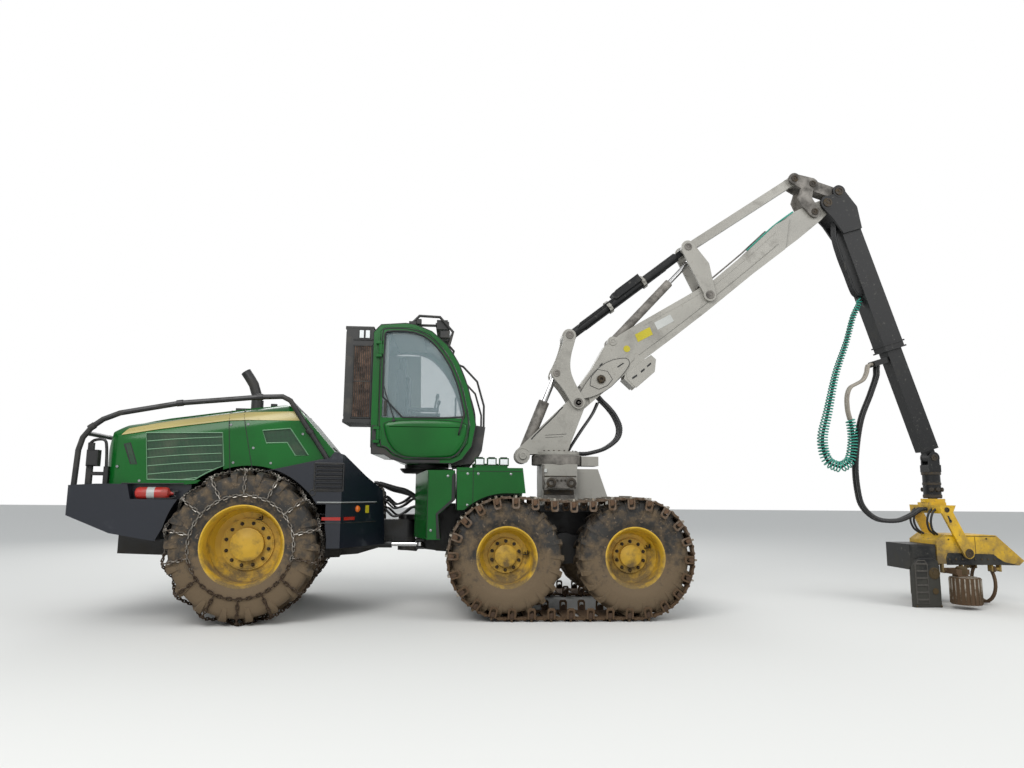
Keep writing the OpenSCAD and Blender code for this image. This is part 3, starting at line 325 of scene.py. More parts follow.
# %% [markdown]
# ## Camera
# The photograph was taken from the machine's right side, from about eye height, with a moderate wide angle.
# The camera is placed by its position and three angles, and its axes are written out as a matrix. The lens
# in millimetres is the focal length in pixels times the sensor's width over the picture's.

# %% Camera
CAMERA_PLACE = [-1.555, -9.846, 1.452]
FOCAL_PIXELS, PICTURE_PIXELS, SENSOR_MM = 742.561, 1024, 36
yaw, pitch, roll = (math.radians(a) for a in (3.904, 8.309, 0.488))
forward = np.array([math.sin(yaw) * math.cos(pitch), math.cos(yaw) * math.cos(pitch), math.sin(pitch)])
level = np.array([math.cos(yaw), -math.sin(yaw), 0.0])
right = level * math.cos(roll) + np.cross(level, forward) * math.sin(roll)
up = np.cross(right, forward)
camera = bpy.data.objects.new("camera", bpy.data.cameras.new("camera"))
bpy.context.collection.objects.link(camera)
matrix = np.eye(4)
matrix[:3, :4] = np.stack([right, up, -forward, CAMERA_PLACE], 1)
camera.matrix_world = Matrix(matrix.tolist())
camera.data.sensor_width = SENSOR_MM
camera.data.lens = FOCAL_PIXELS / PICTURE_PIXELS * SENSOR_MM
camera.data.clip_end = 200
bpy.context.scene.camera = camera
print("camera looks along", forward.round(3))

# %% [markdown]
# ## Light
# A cloudy sky lights the machine in the photograph from everywhere, a little more from the camera's side.
# Three large soft lamps do that, the strongest beside the camera and a weaker one behind the machine. The
# world is white where the camera, a mirror or a pane of glass sees it, and dimmer as a light, so that the
# colours come out as they are written.

# %% Light and floor
def colour(hex_code):
    """An sRGB hex value to linear: above 0.04045 each part is ((c + 0.055) / 1.055) to the power 2.4."""
    c = np.array([int(hex_code[i:i + 2], 16) / 255 for i in (1, 3, 5)])
    linear = np.where(c > 0.04045, ((c + 0.055) / 1.055) ** 2.4, c / 12.92)
    return (*map(float, linear), 1.0)


def plug(tree, made, inputs):
    """Gives sockets of a node, by name or number, a value each or a link from another node's output."""
    for key, value in inputs.items():
        if isinstance(value, bpy.types.NodeSocket):
            tree.links.new(value, made.inputs[key])
        else:
            made.inputs[key].default_value = value


def node(tree, kind, inputs=None, **settings):
    """Adds one shader node with its settings and with what goes into its sockets."""
    made = tree.nodes.new("ShaderNode" + kind)
    for key, value in settings.items():
        setattr(made, key, value)
    plug(tree, made, inputs or {})
    return made


scene = bpy.context.scene
scene.view_settings.view_transform = "Standard"
world = bpy.data.worlds.new("sky")
scene.world = world
world.use_nodes = True
sky = world.node_tree
sky.nodes.clear()
ray = node(sky, "LightPath").outputs
seen = node(sky, "Math", {0: ray["Is Camera Ray"], 1: ray["Is Glossy Ray"]}, operation="MAXIMUM")
seen = node(sky, "Math", {0: seen.outputs[0], 1: ray["Is Transmission Ray"]}, operation="MAXIMUM")
dim = node(sky, "Background", {"Color": (0.9, 0.95, 1.0, 1), "Strength": 0.62})
white = node(sky, "Background", {"Color": (1, 1, 1, 1), "Strength": 1.0})
mixed = node(sky, "MixShader", {0: seen.outputs[0], 1: dim.outputs[0], 2: white.outputs[0]})
node(sky, "OutputWorld", {"Surface": mixed.outputs[0]})

for name, place, aim, size, watts in (("key", (-6, -12, 11), (0, 0, 1.5), 9, 1500),
                                      ("fill", (9, -7, 8), (1, 0, 2), 8, 500),
                                      ("back", (-5, 11, 9), (0, 0, 2), 9, 600)):
    lamp = bpy.data.objects.new(name, bpy.data.lights.new(name, "AREA"))
    lamp.data.size, lamp.data.energy = size, watts
    away = np.array(place, float) - np.array(aim, float)
    away /= np.linalg.norm(away)
    side = np.cross([0, 0, 1.0], away)
    side /= np.linalg.norm(side)
    axes = np.stack([side, np.cross(away, side), away, place], 1)
    lamp.matrix_world = Matrix(np.vstack([axes, [0, 0, 0, 1]]).tolist())
    bpy.context.collection.objects.link(lamp)


def material(name):
    """A new material, with its tree, its shader and the Object coordinates that every finish starts from."""
    made = bpy.data.materials.new(name)
    made.use_nodes = True
    tree = made.node_tree
    return made, tree, tree.nodes["Principled BSDF"], node(tree, "TexCoord").outputs["Object"]


FLOOR = 60.0
# A pale, matt ground, on which the machine's shadow shows
floor_finish, tree, shader, at = material("pale_floor")
plug(tree, shader, {"Base Color": colour("#d9d8d4"), "Roughness": 0.9})
floor_mesh = bpy.data.meshes.new("floor")
floor_mesh.from_pydata([(x * FLOOR, y * FLOOR, 0) for x, y in ((-1, -1), (1, -1), (1, 1), (-1, 1))], [],
                       [(0, 1, 2, 3)])
floor = bpy.data.objects.new("floor", floor_mesh)
floor_mesh.materials.append(floor_finish)
bpy.context.collection.objects.link(floor)
print("three soft lamps and a floor")

# %% [markdown]
# ## Finishes
# Every part of such a machine is weathered in the same few ways: dust settles in patches a foot wide, fine
# grit roughens the gloss, and mud splashes up from the ground and fades out with height. One function paints
# any colour and lays these three over it. Noise scales are worked out from sizes in millimetres: a noise of
# scale s repeats about every 1 / s metres.

# %% Weathered paint
def weathered(name, base, dirt, gloss=0.35, patch_mm=300, dirt_share=0.35, mud_top_mm=900, metal=0.0,
              chips=None, coat=0.0, grit_mm=6, bump=0.15, shade=0.16, shine=0.5):
    """Paint or metal with dust, grit and mud.

    How far dirt reaches at a point is the patch noise plus 0.55 (mud_top - z) / mud_top below the mud's top.
    The share of dirt grows from 0 to 1 as the reach goes from 0.78 to 1.05, both less by dirt_share, and
    is broken up by the grit. Chips are spots of another colour where a finer noise is high.
    """
    made, tree, shader, at = material(name)
    add = lambda kind, inputs, **settings: node(tree, kind, inputs, **settings)
    patch = add("TexNoise", {"Vector": at, "Scale": 1000 / patch_mm, "Detail": 6, "Roughness": 0.62})
    grit = add("TexNoise", {"Vector": at, "Scale": 1000 / grit_mm, "Detail": 3, "Roughness": 0.6})
    height = add("SeparateXYZ", {"Vector": at})
    low = add("MapRange", {"Value": height.outputs["Z"], "From Min": mud_top_mm / 1000, "From Max": 0.0,
                           "To Min": 0.0, "To Max": 0.55})
    reach = add("Math", {0: patch.outputs[0], 1: low.outputs[0]}, operation="ADD")
    share = add("MapRange", {"Value": reach.outputs[0], "From Min": 0.78 - dirt_share,
                             "From Max": 1.05 - dirt_share, "To Min": 0.0, "To Max": 1.0})
    broken = add("Math", {0: share.outputs[0], 1: grit.outputs[0]}, operation="MULTIPLY")
    broken = add("MapRange", {"Value": broken.outputs[0], "From Min": 0.0, "From Max": 0.5})
    tone = add("TexNoise", {"Vector": at, "Scale": 1000 / (patch_mm * 2.7), "Detail": 3})
    tone = add("MapRange", {"Value": tone.outputs[0], "From Min": 0.3, "From Max": 0.7, "To Min": 1 - shade,
                            "To Max": 1 + shade * 0.6})
    paint = add("HueSaturation", {"Color": colour(base), "Value": tone.outputs[0]})
    skin = paint.outputs[0]
    if chips:
        spots = add("TexNoise", {"Vector": at, "Scale": 1000 / 45, "Detail": 7, "Roughness": 0.7})
        spots = add("MapRange", {"Value": spots.outputs[0], "From Min": 0.60, "From Max": 0.66})
        skin = add("Mix", {0: spots.outputs[0], 6: skin, 7: colour(chips)}, data_type="RGBA").outputs[2]
    mix = add("Mix", {0: broken.outputs[0], 6: skin, 7: colour(dirt)}, data_type="RGBA")
    rough = add("MapRange", {"Value": broken.outputs[0], "To Min": gloss, "To Max": 0.92})
    relief = add("Bump", {"Height": grit.outputs[0], "Strength": bump, "Distance": 0.002})
    plug(tree, shader, {"Base Color": mix.outputs[2], "Roughness": rough.outputs[0],
                        "Normal": relief.outputs[0], "Metallic": metal, "Specular IOR Level": shine,
                        "Coat Weight": coat, "Coat Roughness": 0.12})
    return made


# Two-pack enamel over steel sheet, glossy and almost clean: the machine's bright, even surfaces
enamel_green = weathered("enamel_green", "#0a561c", "#4f6a3a", gloss=0.24, dirt_share=0.06, coat=0.1,
                         shade=0.24, shine=0.25)
# The same enamel in a blue black; dust shows on it as large pale clouds
enamel_slate = weathered("enamel_slate", "#10151f", "#3f4247", gloss=0.34, dirt_share=0.2, patch_mm=420)
# Cast and welded frames, black enamel dulled by oil and dust
frame_black = weathered("frame_black", "#0f0f10", "#3b3832", gloss=0.42, dirt_share=0.28)
# The crane's grey paint, streaked with oil over wide patches and chipped to its primer
crane_grey = weathered("crane_grey", "#98958d", "#64605a", gloss=0.42, dirt_share=0.24, patch_mm=420,
                       shade=0.2, chips="#8a857c")
# The same paint, darker as painted shade, with its dirt in small patches
crane_shadow = weathered("crane_shadow", "#7d7871", "#3d3a36", gloss=0.5, dirt_share=0.4, patch_mm=180,
                         shade=0.3)
# Dark paint of the stick and the head, made near black in part as painted shade, knocked down to bare spots
# by branches
arm_dark = weathered("arm_dark", "#0e0f10", "#3b3a35", gloss=0.45, dirt_share=0.2, patch_mm=260,
                     chips="#45443f", shine=0.3)
# Yellow wheel enamel, its lower half dulled by mud splashes
rim_ochre = weathered("rim_ochre", "#c8a02c", "#6b5a3c", gloss=0.42, dirt_share=0.24, patch_mm=160)
# Yellow paint of the head, scraped brown by bark
head_yellow = weathered("head_yellow", "#c99f10", "#62543c", gloss=0.45, dirt_share=0.3, chips="#5a4632")
# Case-hardened links, bright where they rub and brown in between
chain_steel = weathered("chain_steel", "#8f8b84", "#4a3b2e", gloss=0.3, metal=0.85, patch_mm=60, bump=0.1)
# Hot-forged steel that rusts between jobs, rough and brown with earth in it
forged_rust = weathered("forged_rust", "#63564a", "#5a4632", gloss=0.5, metal=0.4, dirt_share=0.4,
                        patch_mm=90, bump=0.5)
# Tread rubber, matt, with dry mud rubbed into its pores
tyre_rubber = weathered("tyre_rubber", "#22201d", "#64543f", gloss=0.72, dirt_share=0.34, patch_mm=110,
                        bump=0.5, grit_mm=5, chips="#7d6b56", shade=0.3)
# Moulded black plastic and textured paint, a dull dark grey
plain_trim = weathered("plain_trim", "#1c1c1b", "#55514a", gloss=0.55, dirt_share=0.28)
# Hard chrome of piston rods, wiped to a mirror at every stroke
ground_chrome = weathered("ground_chrome", "#c9c9c9", "#57534b", gloss=0.12, metal=1.0, dirt_share=0.08,
                          bump=0.02)
# Signal red enamel, glossy under some dust
red_enamel = weathered("red_enamel", "#a3231b", "#5b4438", gloss=0.3, dirt_share=0.25)
# Tinted lens plastic, shiny and hardly dirty
lamp_orange = weathered("lamp_orange", "#d2691e", "#6b5847", gloss=0.2, dirt_share=0.15)
# Rubber of plain hoses, satin with a grey bloom
hose_rubber = weathered("hose_rubber", "#20211f", "#57534a", gloss=0.5, dirt_share=0.3, bump=0.1)


def pane(name, tint, cover):
    """Toughened glass: mostly clear, with the sky's reflection and a film of dust. cover is its opacity."""
    made, tree, shader, at = material(name)
    dust = node(tree, "TexNoise", {"Vector": at, "Scale": 1000 / 180, "Detail": 6})
    film = node(tree, "MapRange", {"Value": dust.outputs[0], "From Min": 0.3, "From Max": 0.75,
                                   "To Min": 0.02, "To Max": 0.22})
    plug(tree, shader, {"Roughness": film.outputs[0], "Base Color": colour(tint), "Alpha": cover, "IOR": 1.52,
                        "Coat Weight": 1.0})
    return made


# Cab glass, a pale blue tint that lets the seat show through
cab_pane = pane("cab_pane", "#8fa3a8", 0.3)
finishes = {
    enamel_green: "tank_boxes front_lamps hood cab_shell cab_door",
    enamel_slate: "rear_panels",
    frame_black: "front_chassis bogie_cases rear_chassis engine guard_rail exhaust steer_barrel_right "
                 "steer_barrel_left",
    crane_grey: "crane_base crane_pillar main_boom rocker link_plates square_rod",
    crane_shadow: "horseshoe_link short_link lift_barrel jib_barrel",
    arm_dark: "tie_tube stick extension hanger head_works",
    rim_ochre: "front_rims rear_rim_right rear_rim_left",
    head_yellow: "tilt_frame head_frame",
    forged_rust: "bogie_tracks knife_right knife_left feed_arm_right feed_arm_left",
    tyre_rubber: "front_tyres rear_tyre_right rear_tyre_left",
    plain_trim: "hood_grilles cab_lamps cab_guards cab_interior cab_intake",
    ground_chrome: "steer_rod_right steer_rod_left lift_rod jib_rod",
    red_enamel: "extinguisher", lamp_orange: "rear_lamps", hose_rubber: "pillar_hoses stick_hoses",
    cab_pane: "cab_glass door_glass"}
for finish, names in finishes.items():
    for name in names.split():
        mesh = nodes[name].data
        mesh.materials.clear()
        mesh.materials.append(finish)
print(len(finishes), "finishes on", sum(len(n.split()) for n in finishes.values()), "nodes")

# %% [markdown]
# ## Rear wheels
# A forestry tyre is low and wide, with a straight bead seat, a bulging wall and thick bars that run from the
# middle of the tread over the shoulder. The carcass is a lathe shape. A bar is a short ridge carried along a
# line that first crosses the tread at a slant and then turns down the shoulder.

# %% Rear tyres
REAR_AXLE_X, REAR_AXLE_Z = -1822.0, 845.0
REAR_TYRE_R, REAR_TYRE_W, REAR_RIM_R, REAR_RIM_W, REAR_FACE = 820.0, 700.0, 432.5, 630.0, 1393.0
REAR_TYRE_Y = REAR_FACE - REAR_RIM_W / 2
REAR_LUG, REAR_LUGS = 42, 18
SIDES = {"right": -1, "left": 1}


def carcass(r, w, rim_r, rim_w, lug):
    """The tyre's section: half of it as radius and distance from the middle plane, then the same mirrored."""
    crown = r - lug
    half = np.array([(rim_r, rim_w / 2 - 34), (rim_r + 8, rim_w / 2 - 6), (rim_r + 34, rim_w / 2 + 6),
                     (rim_r + 0.30 * (crown - rim_r), w / 2 - 4), (rim_r + 0.52 * (crown - rim_r), w / 2),
                     (rim_r + 0.72 * (crown - rim_r), w / 2 - 5), (crown - 46, w / 2 - 18),
                     (crown - 16, w / 2 - 52), (crown - 5, w / 2 - 120), (crown, 60)])
    run = smooth(half, 3)
    return np.concatenate([run, (run * (1, -1))[::-1]])


def bar_lugs(r, w, lug, count, slant, width):
    """One slanting bar as a grid: 9 four-cornered sections along the bar, its foot in the carcass.

    A point at a distance a across the tread lies at the angle tan(slant) a / r round the wheel. Its height
    falls from r at the tread to r - 165 on the wall. The bars of the two halves alternate.
    """
    across = np.array([-12, 40, 110, 180, 250, w / 2 - 52, w / 2 - 16, w / 2 + 3, w / 2 + 3])
    top = np.array([r - 3, r, r, r, r - 2, r - 14, r - 46, r - 110, r - 165])
    foot = np.array([r - lug - 12] * 5 + [r - 75, r - 120, r - 150, r - 175])
    inner = np.minimum(across, w / 2 - 30)
    twist = np.tan(math.radians(slant)) * np.clip(across, 0, 290) / r
    wide = width * np.array([0.8, 0.9, 1, 1.05, 1.1, 1.15, 1.15, 1.0, 0.8])
    corner = [(foot, -0.62, inner), (top, -0.42, across), (top, 0.42, across), (foot, 0.62, inner)]
    points = np.stack([np.stack([h * np.cos(twist + wide * s / r), a, h * np.sin(twist + wide * s / r)], -1)
                       for h, s, a in corner], 1)
    one = points.reshape(-1, 3)
    a = np.arange(count) * 2 * np.pi / count
    both = []
    for sign, phase in ((1, 0.0), (-1, np.pi / count)):
        turn = np.zeros((count, 3, 3))
        turn[:, 0, 0] = turn[:, 2, 2] = np.cos(a + phase)
        turn[:, 0, 2], turn[:, 2, 0] = -np.sin(a + phase), np.sin(a + phase)
        turn[:, 1, 1] = 1
        both.append(repeat((one * (1, sign, 1), stacked(9, 4)), turn, np.zeros((count, 3))))
    return both


def wheel(parts, metres, sign, x, y, z):
    """Parts drawn about Y, outer face towards -Y, carried to an axle: the sign is -1 right and 1 left."""
    return [(metres(p * (1, -sign, 1) + (x, sign * y, z)), f) for p, f in parts]


tyre_parts = [turned(carcass(REAR_TYRE_R, REAR_TYRE_W, REAR_RIM_R, REAR_RIM_W, REAR_LUG), 96)]
tyre_parts += bar_lugs(REAR_TYRE_R, REAR_TYRE_W, REAR_LUG, REAR_LUGS, 24, 74)
for side, sign in SIDES.items():
    piece("rear_tyre_tread_" + side, wheel(tyre_parts, rear, sign, REAR_AXLE_X, REAR_TYRE_Y, REAR_AXLE_Z),
          tyre_rubber, "rear_wheel_" + side, ["rear_tyre_" + side])
print("rear tyres with", 2 * REAR_LUGS, "bars each")

# %% [markdown]
# ## Snow chains
# The rear wheels wear a net of chain: a ring of links on each wall, straight runs from it over the shoulder,
# and slanting ones that meet in the middle of the tread. A welded link is a ring of round steel pulled out
# to an oval. Every second link is turned on edge, so the net is one link placed hundreds of times.

# %% Chain links
def link(length, width, wire, steps=10, corners=5):
    """An oval ring in X and Y: the middle line goes round two half circles joined by straight sides."""
    a = np.linspace(0, 2 * np.pi, steps, endpoint=False) + np.pi / steps
    r = width / 2 - wire / 2
    line = np.stack([np.sign(np.cos(a)) * (length / 2 - width / 2) + r * np.cos(a), r * np.sin(a), 0 * a], -1)
    return tube(line, wire / 2, corners, closed=True)


def along_path(path, pitch, outward):
    """Places for links every pitch along a path: X follows the path, and every second link is on edge.

    path and outward are arrays of points and of directions away from the tyre. The path's length is summed
    up, and each link's middle is found by interpolation at its distance.
    """
    step = np.linalg.norm(np.diff(path, axis=0), axis=1)
    far = np.concatenate([[0], np.cumsum(step)])
    n = max(int(round(far[-1] / pitch)), 1)
    where = (np.arange(n) + 0.5) * far[-1] / n
    at = np.stack([np.interp(where, far, path[:, k]) for k in range(3)], -1)
    ahead = unit(np.stack([np.interp(where + 2, far, path[:, k]) - np.interp(where - 2, far, path[:, k])
                           for k in range(3)], -1))
    out = np.stack([np.interp(where, far, outward[:, k]) for k in range(3)], -1)
    out = unit(out - ahead * np.sum(out * ahead, 1)[:, None])
    across = np.cross(out, ahead)
    odd = (np.arange(n) % 2 == 1)[:, None]
    return np.stack([ahead, np.where(odd, out, across), np.where(odd, -across, out)], -1), at


def over_tyre(angle_from, angle_to, span, w=REAR_TYRE_W):
    """A run of chain over the tread: its share s goes from the ring on one wall to the ring on the other.

    span holds the share at which the run starts and ends; the angle round the wheel changes evenly with it.
    """
    rim = np.array([(558, w / 2 + 10), (640, w / 2 + 13), (720, w / 2 + 10), (790, w / 2 - 2),
                    (824, w / 2 - 48), (835, w / 2 - 110), (836, 0)])
    full = np.concatenate([rim, (rim * (1, -1))[::-1][1:]])
    far = np.concatenate([[0], np.cumsum(np.linalg.norm(np.diff(full, axis=0), axis=1))])
    s = np.linspace(span[0], span[1], 40) * far[-1]
    radius, place = np.interp(s, far, full[:, 0]), np.interp(s, far, full[:, 1])
    a = np.linspace(angle_from, angle_to, 40)
    slope = np.gradient(radius, s), np.gradient(place, s)
    out_r, out_a = -slope[1], slope[0]
    path = np.stack([radius * np.cos(a), place, radius * np.sin(a)], -1)
    outward = np.stack([out_r * np.cos(a), out_a, out_r * np.sin(a)], -1)
    return path, outward


CROSSES, LINK_PITCH, CHAIN_RING_R = 14, 52, 552
runs = []
for k in range(CROSSES):
    a, half = (k + 0.5) * 2 * np.pi / CROSSES, np.pi / CROSSES
    runs += [over_tyre(first, last, span) for first, last, span in (
        (a, a, (0, 0.26)), (a, a + half, (0.26, 0.5)), (a, a - half, (0.26, 0.5)),
        (a + half, a, (0.5, 0.74)), (a - half, a, (0.5, 0.74)), (a, a, (0.74, 1)))]
for wall in (-1, 1):
    a = np.linspace(0, 2 * np.pi, 121)
    runs.append((np.stack([CHAIN_RING_R * np.cos(a), 0 * a + wall * (REAR_TYRE_W / 2 + 8),
                           CHAIN_RING_R * np.sin(a)], -1), np.tile([0, wall, 0.0], (121, 1))))
turns, offsets = map(np.concatenate, zip(*(along_path(path, LINK_PITCH, outward) for path, outward in runs)))
net = [repeat(link(74, 44, 14), turns, offsets)]
for side, sign in SIDES.items():
    piece("rear_chain_" + side, wheel(net, rear, sign, REAR_AXLE_X, REAR_TYRE_Y, REAR_AXLE_Z), chain_steel,
          "rear_wheel_" + side, ["rear_tyre_" + side])
print(len(offsets), "links on each wheel")

# %% [markdown]
# ## Front tyres and steel tracks
# The two bogie wheels on each side turn inside one endless track: thirty-two forged shoes, each a cross plate
# with a raised bar, and a bent guide at both ends that holds the tyre. Pairs of short links pin the shoes
# together. The path is two half circles and two straights. The upper one sags by a raised cosine, so it
# leaves each wheel without a kink. A shoe is drawn once, lying flat, and placed thirty-two times.

# %% Front tyres
FRONT_TYRE_R, FRONT_TYRE_W, FRONT_RIM_R, FRONT_RIM_W, FRONT_FACE = 666.9, 600.0, 336.5, 520.0, 1286.0
FRONT_TYRE_Y, AXLE_Z, PITCH = FRONT_FACE - FRONT_RIM_W / 2, 711.2, 1500.0
FRONT_LUG, FRONT_LUGS = 26, 22
front_axles = [(sign, x) for sign in SIDES.values() for x in (-PITCH / 2, PITCH / 2)]
tyre_parts = [turned(carcass(FRONT_TYRE_R, FRONT_TYRE_W, FRONT_RIM_R, FRONT_RIM_W, FRONT_LUG), 96)]
tyre_parts += bar_lugs(FRONT_TYRE_R, FRONT_TYRE_W, FRONT_LUG, FRONT_LUGS, 20, 58)
parts = [part for sign, x in front_axles for part in wheel(tyre_parts, front, sign, x, FRONT_TYRE_Y, AXLE_Z)]
piece("front_tyre_treads", parts, tyre_rubber, "front_frame", ["front_tyres"])

# %% Track path and shoes
SHOES, SHOE_T, TRACK_GAP, SAG, LEAN = 32, 44.0, 0.3, 40.0, 0.14
TRACK_R = FRONT_TYRE_R + TRACK_GAP


def track_path(share):
    """A point of the track's inner face and the direction away from the wheels, at a share of its length."""
    half = np.pi * TRACK_R
    s = np.mod(share, 1.0) * (2 * PITCH + 2 * half)
    a1 = -np.pi / 2 + (s - PITCH) / TRACK_R
    t = (s - PITCH - half) / PITCH
    a2 = np.pi / 2 + (s - 2 * PITCH - half) / TRACK_R
    zone = [s < PITCH, s < PITCH + half, s < 2 * PITCH + half]
    x = np.select(zone, [s - PITCH / 2, PITCH / 2 + TRACK_R * np.cos(a1), PITCH / 2 - t * PITCH],
                  -PITCH / 2 + TRACK_R * np.cos(a2))
    z = np.select(zone, [-TRACK_R + 0 * s, TRACK_R * np.sin(a1),
                         TRACK_R - SAG * (1 - np.cos(2 * np.pi * t)) / 2], TRACK_R * np.sin(a2))
    nx = np.select(zone, [0 * s, np.cos(a1), 0 * s], np.cos(a2))
    nz = np.select(zone, [-1 + 0 * s, np.sin(a1), 1 + 0 * s], np.sin(a2))
    return np.stack([x, 0 * s, z], -1), np.stack([nx, 0 * s, nz], -1)


def frames_on_track(share):
    """Places for a piece drawn flat: its X along the track, its Y across, its Z away from the wheels."""
    point, out = track_path(share)
    along = np.cross(np.array([0, 1.0, 0]), out)
    across = np.tile([0, 1.0, 0], (len(point), 1))
    return np.stack([along, across, out], -1), point


half_w = FRONT_TYRE_W / 2 + 8
# Cross plate with turned-up edges; the bars on it are parts of their own, rubbed bright by the ground
shoe_parts = [plate([(-80, 3), (80, 3), (82, 22), (72, 24), (66, 13), (14, 16), (-14, 16), (-66, 13),
                     (-72, 24), (-82, 22)], -half_w - 8, half_w + 8, 2.0)]
bar_parts = [plate([(-15, 14), (15, 14), (9, SHOE_T), (-9, SHOE_T)], -half_w - 10, half_w + 10),
             plate([(58, 14), (76, 20), (72, 33), (62, 30)], -half_w + 20, half_w - 20, 2.0),
             plate([(-76, 20), (-58, 14), (-62, 30), (-72, 33)], -half_w + 20, half_w - 20, 2.0)]
# Guides at both ends: a flat bar bent to a U, with caked mud in its bend, leaning out from the tyre's wall
u_bar = [(-46, 12), (-46, -90), (-30, -112), (30, -112), (46, -90), (46, 12), (25, 12), (25, -72), (15, -86),
         (-15, -86), (-25, -72), (-25, 12)]
caked = [(-25, 5), (-25, -48), (-12, -60), (14, -52), (25, -36), (25, 5)]
mud_parts = []
for sign in (-1, 1):
    lean = lambda p: np.stack([p[:, 0], p[:, 1] + sign * (half_w + 16) - sign * LEAN * p[:, 2], p[:, 2]], -1)
    shoe_parts.append(plate(u_bar, -12, 12, 4.0, lean))
    mud_parts.append(plate(caked, -7, 7, 5.0, lean))
# Links to the next shoe: two pairs of bars, each with a pin through both its ends
step = (2 * PITCH + 2 * np.pi * TRACK_R) / SHOES
span = step / 2
link_parts = []
for y in (-half_w + 26, -half_w + 96, half_w - 96, half_w - 26):
    bar = [(-span + 66, -2), (span - 66, -2), (span - 50, 8), (span - 56, 26), (-span + 56, 26),
           (-span + 50, 8)]
    link_parts.append(plate(bar, y - 14, y + 14, 3))
    link_parts += [sleeve(0, 17, -22, 22, 10, (x, y, 14)) for x in (-span + 74, span - 74)]
parts, bars, mud = [], [], []
for sign in SIDES.values():
    at = lambda p: front(p * (1, sign, 1) + (0, sign * FRONT_TYRE_Y, AXLE_Z))
    for made, drawn, shift in ((parts, shoe_parts, 0.25), (bars, bar_parts, 0.25), (mud, mud_parts, 0.25),
                               (parts, link_parts, 0.75)):
        turns, points = frames_on_track((np.arange(SHOES) + shift) / SHOES)
        made += [repeat(p, turns, points, at) for p in drawn]
piece("track_shoes", parts, forged_rust, "front_frame", ["bogie_tracks"])
# Steel that the ground rubs bright on its ridges
rubbed_steel = weathered("rubbed_steel", "#a39c90", "#5b4a36", gloss=0.34, metal=0.7, dirt_share=0.3,
                         patch_mm=60, mud_top_mm=300, bump=0.4)
piece("track_bars", bars, rubbed_steel, "front_frame", ["bogie_tracks"])
# Mud with roots and needles in it, dried to a matt crust
dried_mud = weathered("dried_mud", "#5a4330", "#3d2d20", gloss=0.95, dirt_share=0.3, patch_mm=40, bump=1.0,
                      grit_mm=14)
piece("track_mud", mud, dried_mud, "front_frame", ["bogie_tracks"])
print(SHOES, "shoes on each side, one every %.0f mm" % step)

# %% [markdown]
# ## Rims and hubs
# The rims are the drawing's own. What it leaves out are the wheel nuts in their circle, the hub's cover with
# its screws, and the valve with its guard: the small things that make a hub read as one.

# %% Wheel nuts and hub covers
def hub_parts(disc, pad, nut_circle, nuts, cover_r):
    """The hub about Y, outer face towards -Y: first the parts of dark steel, then those in the rim's colour.

    disc is the distance of the rim's disc from the middle plane. The nuts stand on a pad as high as pad, and
    the cover is a lathe shape with a chamfered edge and a shallow dish.
    """
    circle = ring_places(nuts, nut_circle, (0, -disc - pad, 0), 0.3)
    studs = [bolts(circle, 15, 26), repeat(sleeve(0, 21, 0, 7, 14), np.eye(3), circle),
             repeat(turned([(0, 24), (8, 24), (7, 36), (0, 36)], 8), np.eye(3), circle),
             bolts(ring_places(6, cover_r * 0.72, (0, -disc - 70, 0)), 9, 9)]
    cover = [turned([(0, 66), (cover_r * 0.93, 66), (cover_r * 0.99, 70), (cover_r * 0.99, 76),
                     (cover_r * 0.93, 80), (cover_r * 0.6, 80), (cover_r * 0.55, 84), (cover_r * 0.2, 86),
                     (0, 86)], 64, (0, -disc, 0)),
             turned([(nut_circle + 26, pad - 1), (nut_circle + 26, pad + 5), (nut_circle + 34, pad + 5),
                     (nut_circle + 36, pad - 1)], 72, (0, -disc, 0))]
    return studs, cover


def valve(disc, radius, angle):
    """The tyre valve and the bent plate that guards it, at a radius and an angle on the rim's disc."""
    place = (radius * math.cos(angle), -disc, radius * math.sin(angle))
    guard = plate([(-34, -26), (34, -26), (34, 26), (26, 26), (26, -18), (-34, -18)], -62, 1, 3.0)
    return [repeat(guard, np.eye(3), [place]),
            turned([(0, -2), (8, -2), (8, 34), (5, 38), (5, 52), (0, 52)], 10, place)]


# Phosphated steel, dark and dry
dark_steel = weathered("dark_steel", "#35302a", "#54462f", gloss=0.55, metal=0.5, dirt_share=0.3, patch_mm=50)
FRONT_DISC, REAR_DISC = FRONT_FACE - 316, REAR_FACE - 395
dark, light = hub_parts(FRONT_DISC, 20, 168, 10, 131)
studs, covers, valves = [], [], []
for sign, x in front_axles:
    studs += wheel(dark, front, sign, x, 0, AXLE_Z)
    covers += wheel(light, front, sign, x, 0, AXLE_Z)
    valves += wheel(valve(FRONT_DISC, 236, 0.14 if x < 0 else 0.5), front, sign, x, 0, AXLE_Z)
piece("front_hub_nuts", studs + valves, dark_steel, "front_frame")
piece("front_hub_covers", covers, rim_ochre, "front_frame")
dark, light = hub_parts(REAR_DISC, 20, 238, 12, 186)
dark += valve(REAR_DISC, 320, 1.2)
for side, sign in SIDES.items():
    for name, parts, finish, slot in (("nuts_", dark, dark_steel, "black_paint"),
                                      ("cover_", light, rim_ochre, "rim_ochre")):
        piece("rear_hub_" + name + side, wheel(parts, rear, sign, REAR_AXLE_X, 0, REAR_AXLE_Z), finish,
              "rear_wheel_" + side)
print("nuts, covers and valves on six hubs")

# %% [markdown]
# ## Hood
# The hood is one big shell of painted sheet with round top edges. What makes it read as real is thin and lies
# on its skin: a pale stripe under the top edge, the gaps between its doors, wire mesh in the side openings.
# All of these follow the same surface, so one function gives the skin's Y for a place on the side.

# %% The hood's skin
HOOD_Y, HOOD_ROUND = 1150.0, 230.0
TOP_X, TOP_Z, TOP_RISE, TOP_COSINE = -3185, 2200, 0.158, 0.988


